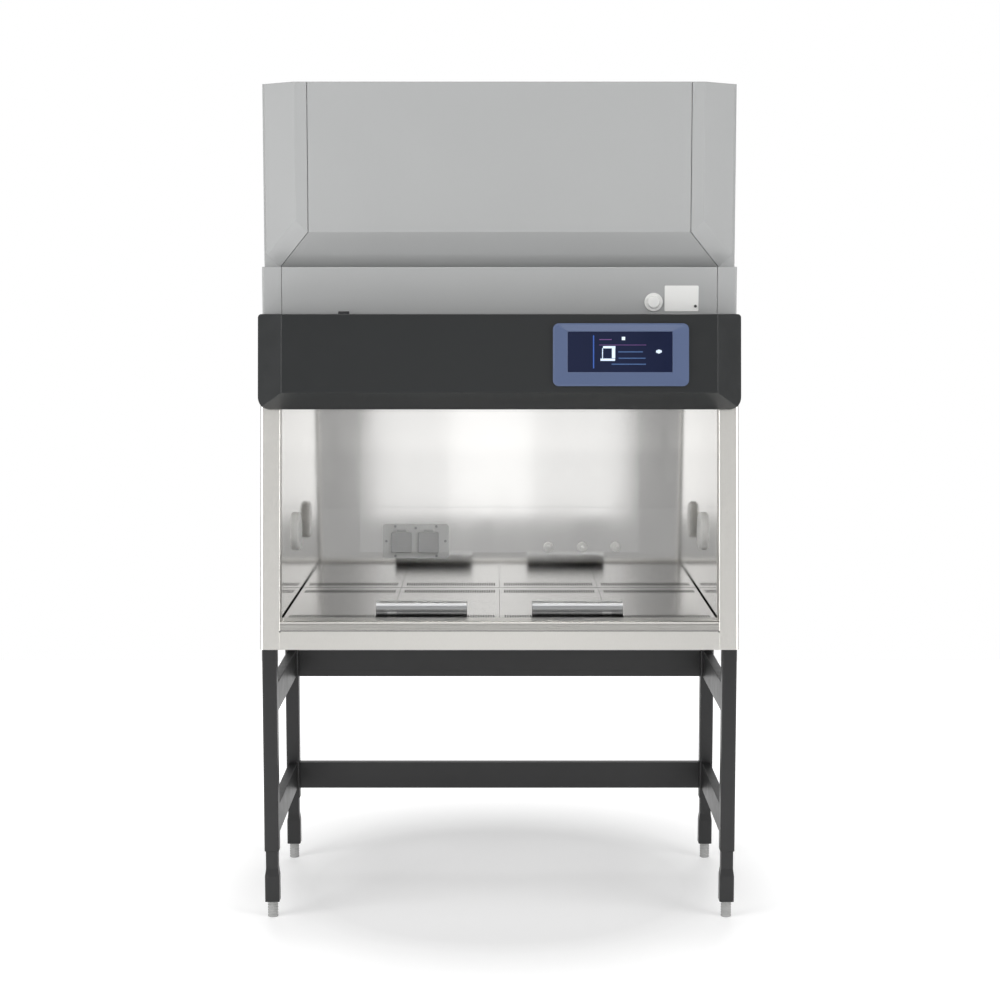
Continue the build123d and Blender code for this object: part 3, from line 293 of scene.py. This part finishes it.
def clear_float_glass(name):
    """Laminated float glass: clear, without the faint green of real float glass, and with a thin film of wiping
    marks in its gloss.
    """
    material, tree, shader, coords = start_material(
        name, linear("FFFFFF"), 0.02, Transmission_Weight=1.0, IOR=1.45, Specular_IOR_Level=0.35
    )
    wipe = grain(tree, coords, 160.0, (3, 1, 1), 3.0)
    vary(tree, wipe, 0.0, 0.035, shader.inputs["Roughness"])
    return material


def display_glass(name, colour):
    """Dark navy display behind gloss glass: a faint even glow of its own, and a faint cloud in its tone."""
    material, tree, shader, coords = start_material(
        name, colour, 0.16, Emission_Color=linear("1C2440"), Emission_Strength=0.35, Specular_IOR_Level=0.12
    )
    cloud = grain(tree, coords, 120.0, detail=1.0)
    tint(tree, cloud, shade(colour, 0.75), shade(colour, 1.25), shader)
    vary(tree, grain(tree, coords, 60.0), 0.08, 0.16, shader.inputs["Roughness"])
    return material


def lit_shape(name, colour, strength):
    """A lit patch of the display: its own even light, dimmed a little by the pixel grid."""
    material, tree, shader, coords = start_material(name, colour, 0.4, Emission_Strength=strength)
    shader.inputs["Emission Color"].default_value = colour
    # The grid is drawn at 1 mm, as the real one is too fine to show
    grid = add(tree, "ShaderNodeTexChecker", {"Vector": coords, "Scale": 1 / (1.0 * MM)}).outputs["Fac"]
    tint(tree, grid, shade(colour, 0.85), colour, shader)
    return material


def opal_cover(name, strength):
    """Opal acrylic over a lit tube: milky white, softly glowing, a little uneven along its length."""
    material, tree, shader, coords = start_material(name, linear("F4F4F0"), 0.35, Emission_Strength=strength)
    shader.inputs["Emission Color"].default_value = linear("FFFDF6")
    glow = grain(tree, coords, 220.0, detail=1.0)
    tint(tree, glow, linear("ECECE8"), linear("F8F8F4"), shader)
    return material


# Modelling by hand


def deselect():
    """Leaves nothing selected."""
    bpy.ops.object.select_all(action="DESELECT")


def keep(piece, name, material, body):
    """Names a finished piece, gives it its finish and lets it ride on its body."""
    piece.name = name
    piece.data.name = name
    piece.data.materials.clear()
    piece.data.materials.append(material)
    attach(piece, body)
    return piece


def settle(piece, place=None):
    """Puts the piece where it belongs and writes that place into its mesh."""
    deselect()
    piece.select_set(True)
    bpy.context.view_layer.objects.active = piece
    if place is not None:
        piece.matrix_world = place @ piece.matrix_world
    bpy.ops.object.transform_apply(location=True, rotation=True, scale=True)


def rounded_block(size, edge, segments=3, upright_only=False):
    """A block standing on its own origin, its edges rounded in edit mode."""
    deselect()
    bpy.ops.mesh.primitive_cube_add(size=1, location=(0, 0, size[2] / 2), scale=size)
    piece = bpy.context.object
    bpy.ops.object.transform_apply(location=True, rotation=True, scale=True)
    bpy.ops.object.mode_set(mode="EDIT")
    bpy.ops.mesh.select_mode(type="EDGE")
    bpy.ops.mesh.select_all(action="DESELECT")
    bpy.ops.object.mode_set(mode="OBJECT")
    for e in piece.data.edges:
        a, b = (piece.data.vertices[i].co for i in e.vertices)
        e.select = abs((a - b).normalized().z) > 0.9 if upright_only else max(a.z, b.z) > size[2] / 2
    bpy.ops.object.mode_set(mode="EDIT")
    bpy.ops.mesh.bevel(offset=edge, segments=segments, affect="EDGES")
    bpy.ops.object.mode_set(mode="OBJECT")
    return piece


def screw_head(radius, height, recess):
    """A low screw head on its own origin: bevelled rim, and a recess sunk by inset and extrude."""
    deselect()
    bpy.ops.mesh.primitive_cylinder_add(vertices=24, radius=radius, depth=height, location=(0, 0, height / 2))
    piece = bpy.context.object
    bpy.ops.object.transform_apply(location=True, rotation=True, scale=True)
    top = max(v.co.z for v in piece.data.vertices)
    select_faces(piece, lambda f: f.normal.z > 0.9 and f.center.z > top - 1e-6)
    bpy.ops.mesh.bevel(offset=height * 0.35, segments=2, affect="EDGES")
    bpy.ops.object.mode_set(mode="OBJECT")
    select_faces(piece, lambda f: f.normal.z > 0.99 and f.center.z > top - 1e-6)
    bpy.ops.mesh.inset(thickness=radius - recess)
    bpy.ops.mesh.extrude_region_move(TRANSFORM_OT_translate={"value": (0, 0, -height * 0.6)})
    bpy.ops.object.mode_set(mode="OBJECT")
    return piece


def select_faces(piece, wanted):
    """Goes into edit mode with only the wanted faces selected."""
    bpy.context.view_layer.objects.active = piece
    bpy.ops.object.mode_set(mode="EDIT")
    bpy.ops.mesh.select_mode(type="FACE")
    bpy.ops.mesh.select_all(action="DESELECT")
    bpy.ops.object.mode_set(mode="OBJECT")
    for f in piece.data.polygons:
        f.select = wanted(f)
    bpy.ops.object.mode_set(mode="EDIT")


def facing(point, normal):
    """A place whose local Z points along a normal and whose local X runs across."""
    z = Vector(normal).normalized()
    y = z.cross(ACROSS).normalized()
    x = y.cross(z)
    return Matrix.Translation(point) @ Matrix((x, y, z)).transposed().to_4x4()


def repeat(piece, places):
    """Copies a piece to each place, each copy with its own mesh, and joins them into one."""
    copies = []
    for place in places:
        copy = piece.copy()
        copy.data = piece.data.copy()
        bpy.context.scene.collection.objects.link(copy)
        settle(copy, place)
        copies.append(copy)
    bpy.data.objects.remove(piece)
    deselect()
    for copy in copies:
        copy.select_set(True)
    bpy.context.view_layer.objects.active = copies[0]
    if len(copies) > 1:
        bpy.ops.object.join()
    return bpy.context.object


def smooth(piece):
    """Smooth shading that keeps the sharp edges."""
    deselect()
    piece.select_set(True)
    bpy.context.view_layer.objects.active = piece
    bpy.ops.object.shade_smooth_by_angle(angle=SMOOTH_ANGLE)


def dress(material, *nodes):
    """Gives CAD nodes their finish."""
    for name in nodes:
        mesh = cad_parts[name].data
        mesh.materials.clear()
        mesh.materials.append(material)


# Settings


def colour_setting(name, description, code):
    """A colour that the panel offers, given as an sRGB hex code."""
    return FloatVectorProperty(
        name=name, description=description, subtype="COLOR", size=4, min=0.0, max=1.0, default=linear(code)
    )


def length_setting(name, description, metres):
    """A length that the panel offers."""
    return FloatProperty(name=name, description=description, default=metres, unit="LENGTH")


class CabinetColours(bpy.types.PropertyGroup):
    """Colours of the finishes."""

    casing: colour_setting("Casing", "Powder coat of the upper housing and sides", "A1A2A2")
    stand: colour_setting("Stand", "Powder coat of the legs and rails", "141415")
    hood: colour_setting("Hood", "Paint of the sloping hood", "1A1C1D")
    bezel: colour_setting("Bezel", "Moulded frame of the screen", "4C5A7A")
    screen: colour_setting("Screen", "The display when it shows nothing", "12172B")
    front_steel: colour_setting("Front steel", "Brushed steel of the posts and base panel", "F1EFEA")
    chamber_steel: colour_setting("Chamber steel", "Bright steel of the work chamber", "F3F2F0")
    plugs: colour_setting("Plugs", "White plastic of plugs, covers and the bare plate", "E4E4E2")
    feet: colour_setting("Feet", "Plastic of the levelling feet", "9C9C9B")


class CabinetSizes(bpy.types.PropertyGroup):
    """Sizes of the small fittings."""

    plate_width: length_setting("Plate width", "Bare plate on the lower panel", 0.093)
    plate_height: length_setting("Plate height", "Bare plate on the lower panel", 0.070)
    plate_thick: length_setting("Plate thickness", "Bare plate on the lower panel", 0.0015)
    screw_radius: length_setting("Screw radius", "Heads of the panel screws", 0.004)
    lamp_power: FloatProperty(
        name="Lamp", description="Light in the work chamber, in watts", default=1.8, min=0.0
    )
    back_screws: IntProperty(
        name="Back screws", description="Screws along each long edge of the back panel", default=7, min=2
    )


# Finishing the CAD nodes


class CABINET_OT_finish_casing(bpy.types.Operator):
    """Powder coat for the housing, brushed steel for the front posts and the sill"""

    bl_idname = "cabinet.finish_casing"
    bl_label = "Casing"

    def execute(self, context):
        colours = context.scene.cabinet_colours
        coat = powder_coat("powder_coated_steel_light_grey", colours.casing, 0.42)
        dress(
            coat, "side_panel_left", "side_panel_right", "back_panel", "top_panel", "upper_front_cover",
            "upper_side_cover_left", "upper_side_cover_right", "lower_front_panel", "corner_strip_left",
            "corner_strip_right", "front_header",
        )
        upright = brushed_stainless("brushed_stainless_steel_front", colours.front_steel, 0.34, 2)
        dress(upright, "front_frame")
        # Painted shade: the sill is the front's own steel made darker, so that its rounded nose shows less of
        # the light that it catches
        sill_steel_painted_shade = shade(colours.front_steel, 0.62)
        dress(brushed_stainless("brushed_stainless_steel_sill_painted_shade", sill_steel_painted_shade, 0.3, 0, 0.005), "sill")
        dress(moulded_plastic("abs_plastic_white_plug", colours.plugs, 0.3), "test_port_plug")
        return {"FINISHED"}


class CABINET_OT_finish_chamber(bpy.types.Operator):
    """Bright steel, trays, plugs, sockets and the sliding sash"""

    bl_idname = "cabinet.finish_chamber"
    bl_label = "Work chamber"

    def execute(self, context):
        colours = context.scene.cabinet_colours
        steel = colours.chamber_steel
        walls = polished_stainless("bright_stainless_steel_walls", steel, 0.07)
        dress(walls, "back_wall", "side_wall_left", "side_wall_right")
        ceiling = brushed_stainless("brushed_stainless_steel_ceiling", shade(steel, 0.95), 0.3, 0)
        dress(ceiling, "ceiling_diffuser")
        # Painted shade: the trays and the base pan are the chamber's own steel made darker, so that they glare
        # less in the chamber's light
        trays_painted_shade = brushed_stainless("brushed_stainless_steel_trays_painted_shade", shade(steel, 0.6), 0.22, 0)
        dress(trays_painted_shade, "work_tray_1", "work_tray_2", "work_tray_3", "work_tray_4", "base_pan")
        dress(brushed_stainless("satin_stainless_steel_arm_rests", linear("B9BABB"), 0.32, 0), "arm_rests")
        covers = moulded_plastic("abs_plastic_white_covers", colours.plugs, 0.35)
        dress(covers, "service_port_covers", "blanking_plugs")
        dress(moulded_plastic("abs_plastic_grey_socket", linear("C9CAC9"), 0.38), "socket_plate")
        flaps = moulded_plastic("abs_plastic_grey_flaps", linear("A6A7A7"), 0.32)
        dress(flaps, "socket_flap_left", "socket_flap_right")
        dress(clear_float_glass("clear_laminated_glass"), "sash_glass")
        rails = brushed_stainless("anodised_aluminium_sash_rails", linear("B5B6B6"), 0.3, 2)
        dress(rails, "sash_side_rail_left", "sash_side_rail_right")
        dress(moulded_plastic("polyethylene_black_guides", linear("4A4B4B"), 0.5), "sash_guides")
        return {"FINISHED"}


class CABINET_OT_finish_hood(bpy.types.Operator):
    """Dark hood, bezel, display and hinges"""

    bl_idname = "cabinet.finish_hood"
    bl_label = "Hood and screen"

    def execute(self, context):
        colours = context.scene.cabinet_colours
        dress(powder_coat("satin_paint_dark_grey_hood", colours.hood, 0.34), "hood_shell")
        bezel = moulded_plastic(
            "abs_plastic_blue_grey_bezel", colours.bezel, 0.3, Coat_Weight=0.5, Coat_Roughness=0.15
        )
        dress(bezel, "screen_bezel")
        dress(display_glass("gloss_display_glass", colours.screen), "screen_glass")
        dress(turned_metal("turned_steel_hinge_pins", linear("8E8F90"), 0.3), "hinge_pins")
        return {"FINISHED"}


class CABINET_OT_finish_stand(bpy.types.Operator):
    """Black legs and rails, grey levelling feet"""

    bl_idname = "cabinet.finish_stand"
    bl_label = "Stand"

    def execute(self, context):
        colours = context.scene.cabinet_colours
        coat = powder_coat("powder_coated_steel_black", colours.stand, 0.4)
        dress(coat, "leg_front_left", "leg_front_right", "leg_rear_left", "leg_rear_right")
        dress(coat, "leg_extensions", "stand_rails")
        feet = moulded_plastic("nylon_grey_levelling_feet", colours.feet, 0.42)
        dress(feet, "foot_front_left", "foot_front_right", "foot_rear_left", "foot_rear_right")
        return {"FINISHED"}


class CABINET_OT_finish_works(bpy.types.Operator):
    """Belts, pulleys, weights, filters and fan inside the casing"""

    bl_idname = "cabinet.finish_works"
    bl_label = "Inner works"

    def execute(self, context):
        dress(woven_belt("woven_polyester_belt", linear("232323")), "sash_belts")
        steel = turned_metal("turned_steel_works", linear("9A9A99"), 0.35)
        dress(steel, "sash_shaft", "pulley_mounts", "counterweight_left", "counterweight_right")
        pulleys = turned_metal("turned_aluminium_pulleys", linear("C6C7C8"), 0.3)
        dress(pulleys, "lower_pulley_left", "lower_pulley_right")
        paper = pleated_paper("pleated_filter_paper", linear("E6E5DF"), 6.0)
        dress(paper, "supply_filter", "exhaust_filter")
        dress(galvanised_sheet("galvanised_steel_plenum", linear("A9AEB1"), 0.42), "plenum", "fan_wheel")
        dress(powder_coat("enamelled_motor_body", linear("3A3C3E"), 0.4), "fan_motor")
        dress(opal_cover("opal_acrylic_lamp", 0.0), "lamp")
        return {"FINISHED"}


# Small fittings


class CABINET_OT_bare_plate(bpy.types.Operator):
    """Plain white plate with its screw on the lower front panel"""

    bl_idname = "cabinet.bare_plate"
    bl_label = "Bare plate"

    def execute(self, context):
        sizes = context.scene.cabinet_sizes
        panel_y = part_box("lower_front_panel")[0].y
        middle = Vector((PLATE_X, panel_y, PLATE_Z))
        size = (sizes.plate_width, sizes.plate_height, sizes.plate_thick)
        plate = rounded_block(size, PLATE_CORNER, upright_only=True)
        settle(plate, facing(middle, FORWARD))
        smooth(plate)
        white = moulded_plastic("laminated_plastic_bare_plate", context.scene.cabinet_colours.plugs, 0.3)
        keep(plate, "bare_plate", white, "cabinet")

        recess = sizes.screw_radius * PLATE_SCREW_RECESS
        screw = screw_head(sizes.screw_radius, PLATE_SCREW_HEIGHT, recess)
        offset = Vector((PLATE_SCREW_RIGHT, -sizes.plate_thick, -PLATE_SCREW_DOWN))
        settle(screw, facing(middle + offset, FORWARD))
        smooth(screw)
        plated = turned_metal("zinc_plated_plate_screw", linear("5A5B5C"), 0.35)
        keep(screw, "plate_screw", plated, "cabinet")
        return {"FINISHED"}


class CABINET_OT_hood_buffer(bpy.types.Operator):
    """Rubber buffer on the hood's top edge"""

    bl_idname = "cabinet.hood_buffer"
    bl_label = "Hood buffer"

    def execute(self, context):
        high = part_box("hood_shell")[1]
        buffer = rounded_block(BUFFER_SIZE, BUFFER_EDGE)
        settle(buffer, Matrix.Translation((BUFFER_X, high.y - BUFFER_SETBACK, high.z)))
        smooth(buffer)
        rubber = moulded_plastic("black_rubber_buffer", linear("2A2B2C"), 0.7)
        keep(buffer, "hood_buffer", rubber, "hood")
        return {"FINISHED"}


class CABINET_OT_screen_image(bpy.types.Operator):
    """Plain shapes that the display shows: a line, a picture of a cabinet, bars and two marks"""

    bl_idname = "cabinet.screen_image"
    bl_label = "Screen image"

    def execute(self, context):
        low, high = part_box("screen_glass")
        surface = (low + high) / 2 + OUT_LEAN * DISPLAY_LIFT
        white = lit_shape("lit_display_white", linear("B9C6D6"), 0.7)
        blue = lit_shape("lit_display_blue", linear("2B4E96"), 0.45)
        dim = lit_shape("lit_display_dim_blue", linear("38527C"), 0.3)
        violet = lit_shape("lit_display_violet", linear("5A3A6E"), 0.3)

        def patch(x, up, width, height):
            """A thin patch of light on the display, its place in millimetres from the middle."""
            piece = rounded_block((width * MM, height * MM, PATCH_THICK), PATCH_EDGE, 1)
            settle(piece, facing(surface + ACROSS * x * MM + UP_LEAN * up * MM, OUT_LEAN))
            return piece

        def image(name, material, patches):
            """Patches of one finish, joined into one piece."""
            pieces = [patch(*p) for p in patches]
            deselect()
            for piece in pieces:
                piece.select_set(True)
            bpy.context.view_layer.objects.active = pieces[0]
            if len(pieces) > 1:
                bpy.ops.object.join()
            keep(bpy.context.object, name, material, "hood")

        image("display_line", blue, DISPLAY_LINE)
        image("display_picture", white, DISPLAY_PICTURE)
        image("display_rows", dim, DISPLAY_ROWS)
        image("display_heading", violet, DISPLAY_HEADING)
        image("display_marks", white, DISPLAY_MARKS)
        return {"FINISHED"}


class CABINET_OT_lamp_cover(bpy.types.Operator):
    """Glowing half-round cover over the lamp's tube"""

    bl_idname = "cabinet.lamp_cover"
    bl_label = "Lamp cover"

    def execute(self, context):
        low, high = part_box("lamp")
        deselect()
        bpy.ops.mesh.primitive_cylinder_add(
            vertices=40, radius=COVER_RADIUS, depth=high.x - low.x - 2 * COVER_END_GAP,
            location=(0, (low.y + high.y) / 2, low.z + COVER_AXIS), rotation=(0, pi / 2, 0),
        )
        tube = bpy.context.object
        bpy.ops.object.transform_apply(location=True, rotation=True, scale=True)
        # Only the half that hangs below the housing is kept
        bpy.ops.object.mode_set(mode="EDIT")
        bpy.ops.mesh.select_all(action="SELECT")
        bpy.ops.mesh.bisect(
            plane_co=(0, 0, low.z + COVER_CUT), plane_no=(0, 0, 1), clear_outer=True, use_fill=True
        )
        bpy.ops.mesh.select_all(action="SELECT")
        bpy.ops.mesh.normals_make_consistent(inside=False)
        bpy.ops.object.mode_set(mode="OBJECT")
        smooth(tube)
        keep(tube, "lamp_cover", opal_cover("opal_acrylic_cover_lit", 2.5), "cabinet")
        return {"FINISHED"}


class CABINET_OT_screws(bpy.types.Operator):
    """Screws of the socket plate, the back panel and the legs"""

    bl_idname = "cabinet.screws"
    bl_label = "Screws"

    def execute(self, context):
        sizes = context.scene.cabinet_sizes
        plated = turned_metal("zinc_plated_screws", linear("9B9C9D"), 0.3)

        recess = sizes.screw_radius * SCREW_RECESS

        low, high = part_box("socket_plate")
        middle = (low + high) / 2
        face_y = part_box("back_wall")[1].y - WALL_SHEET - SOCKET_PLATE_THICK
        places = [
            facing((middle.x + x * MM, face_y, middle.z + z * MM), FORWARD) for x, z in SOCKET_SCREWS
        ]
        piece = repeat(screw_head(sizes.screw_radius, SOCKET_SCREW_HEIGHT, recess), places)
        smooth(piece)
        keep(piece, "socket_plate_screws", plated, "cabinet")

        low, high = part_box("back_panel")
        inset = BACK_SCREW_INSET
        count = sizes.back_screws
        # The heads lie in the sheet, so that nothing stands out of the back
        seat_y = high.y - BACK_SCREW_HEIGHT
        places = []
        for i in range(count):
            z = low.z + inset + i * (high.z - low.z - 2 * inset) / (count - 1)
            places += [facing((x, seat_y, z), BACKWARD) for x in (low.x + inset, high.x - inset)]
        piece = repeat(screw_head(sizes.screw_radius, BACK_SCREW_HEIGHT, recess), places)
        smooth(piece)
        keep(piece, "back_panel_screws", plated, "cabinet")

        places = []
        for node in ("leg_front_left", "leg_front_right", "leg_rear_left", "leg_rear_right"):
            low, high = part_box(node)
            for z in BOLT_HEIGHTS:
                places.append(facing(((low.x + high.x) / 2, high.y, z), BACKWARD))
        piece = repeat(screw_head(BOLT_RADIUS, BOLT_HEAD, BOLT_RECESS), places)
        smooth(piece)
        black = turned_metal("black_oxide_leg_bolts", linear("2B2B2C"), 0.35)
        keep(piece, "leg_bolts", black, "cabinet")
        return {"FINISHED"}


# Floor, light and camera


def area_light(name, place, target, size, power, colour=(1, 1, 1)):
    """A soft rectangular light aimed at a point."""
    light = bpy.data.lights.new(name, "AREA")
    light.shape = "RECTANGLE"
    light.size, light.size_y = size
    light.energy = power
    light.color = colour
    holder = bpy.data.objects.new(name, light)
    holder.location = place
    holder.rotation_euler = (Vector(target) - Vector(place)).to_track_quat("-Z", "Y").to_euler()
    bpy.context.scene.collection.objects.link(holder)
    return holder


class CABINET_OT_stage(bpy.types.Operator):
    """Pale floor, white surroundings, soft studio lights and the camera"""

    bl_idname = "cabinet.stage"
    bl_label = "Stage"

    def execute(self, context):
        scene = context.scene
        scene.view_settings.view_transform = "Standard"
        deselect()
        bpy.ops.mesh.primitive_plane_add(size=FLOOR_SIZE, location=(0, 0, 0))
        floor = context.object
        floor.name = "studio_floor"
        material, tree, shader, coords = start_material(
            "pale_studio_floor", linear("D8D8D8"), 0.6, Emission_Strength=0.22
        )
        shader.inputs["Emission Color"].default_value = (1, 1, 1, 1)
        vary(tree, grain(tree, coords, 700.0, detail=1.0), 0.42, 0.55, shader.inputs["Roughness"])
        # The floor glows less near the cabinet, a painted shade under it, and brightens away from it, so that
        # it has no edge against the white surroundings
        place = add(tree, "ShaderNodeMapping", {"Vector": coords, "Scale": (FLOOR_GLOW_SCALE,) * 3})
        inputs = {"Vector": place.outputs["Vector"]}
        painted_shade_near_cabinet = add(tree, "ShaderNodeTexGradient", inputs, gradient_type="SPHERICAL").outputs["Fac"]
        vary(tree, painted_shade_near_cabinet, FLOOR_GLOW_FAR, FLOOR_GLOW_NEAR_PAINTED_SHADE, shader.inputs["Emission Strength"])
        floor.data.materials.append(material)

        world = bpy.data.worlds.new("white_surroundings")
        scene.world = world
        world.use_nodes = True
        tree = world.node_tree
        background = tree.nodes["Background"]
        # The camera sees the surroundings as plain white, while less of their light falls on the cabinet
        seen = add(tree, "ShaderNodeLightPath").outputs["Is Camera Ray"]
        inputs = {"Value": seen, "To Min": SURROUNDINGS_LIGHT, "To Max": SURROUNDINGS_SEEN}
        strength = add(tree, "ShaderNodeMapRange", inputs).outputs["Result"]
        tree.links.new(strength, background.inputs["Strength"])
        background.inputs["Color"].default_value = (1, 1, 1, 1)

        for light in LIGHTS:
            area_light(*light)
        low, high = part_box("lamp")
        place = (0, (low.y + high.y) / 2 + CHAMBER_LAMP_BACK, low.z - CHAMBER_LAMP_DROP)
        power = scene.cabinet_sizes.lamp_power
        area_light("chamber_lamp", place, CHAMBER_LAMP_AIM, CHAMBER_LAMP_SIZE, power, CHAMBER_LAMP_COLOUR)

        camera = bpy.data.cameras.new("camera")
        camera.lens = CAMERA_LENS
        camera.sensor_width = CAMERA_SENSOR
        camera.shift_x = CAMERA_SHIFT
        holder = bpy.data.objects.new("camera", camera)
        holder.location = CAMERA_PLACE
        holder.rotation_euler = (radians(90 - CAMERA_DOWN), 0, 0)
        scene.collection.objects.link(holder)
        scene.camera = holder
        return {"FINISHED"}


# Add-on


class CABINET_PT_panel(bpy.types.Panel):
    """Lists the cabinet's pieces and settings"""

    bl_idname = "CABINET_PT_panel"
    bl_label = "Safety cabinet"
    bl_space_type = "VIEW_3D"
    bl_region_type = "UI"
    bl_category = "Cabinet"

    def draw(self, context):
        for group in (context.scene.cabinet_colours, context.scene.cabinet_sizes):
            for key in group.__annotations__:
                self.layout.prop(group, key)
        for step in STEPS:
            self.layout.operator(step.bl_idname)


STEPS = (
    CABINET_OT_finish_casing,
    CABINET_OT_finish_chamber,
    CABINET_OT_finish_hood,
    CABINET_OT_finish_stand,
    CABINET_OT_finish_works,
    CABINET_OT_bare_plate,
    CABINET_OT_hood_buffer,
    CABINET_OT_screen_image,
    CABINET_OT_lamp_cover,
    CABINET_OT_screws,
    CABINET_OT_stage,
)
CLASSES = (CabinetColours, CabinetSizes, *STEPS, CABINET_PT_panel)


def register():
    for item in CLASSES:
        bpy.utils.register_class(item)
    bpy.types.Scene.cabinet_colours = PointerProperty(type=CabinetColours)
    bpy.types.Scene.cabinet_sizes = PointerProperty(type=CabinetSizes)


def unregister():
    del bpy.types.Scene.cabinet_sizes
    del bpy.types.Scene.cabinet_colours
    for item in reversed(CLASSES):
        bpy.utils.unregister_class(item)


def main():
    register()
    for step in STEPS:
        group, name = step.bl_idname.split(".")
        getattr(getattr(bpy.ops, group), name)()


if __name__ == "__main__":
    main()
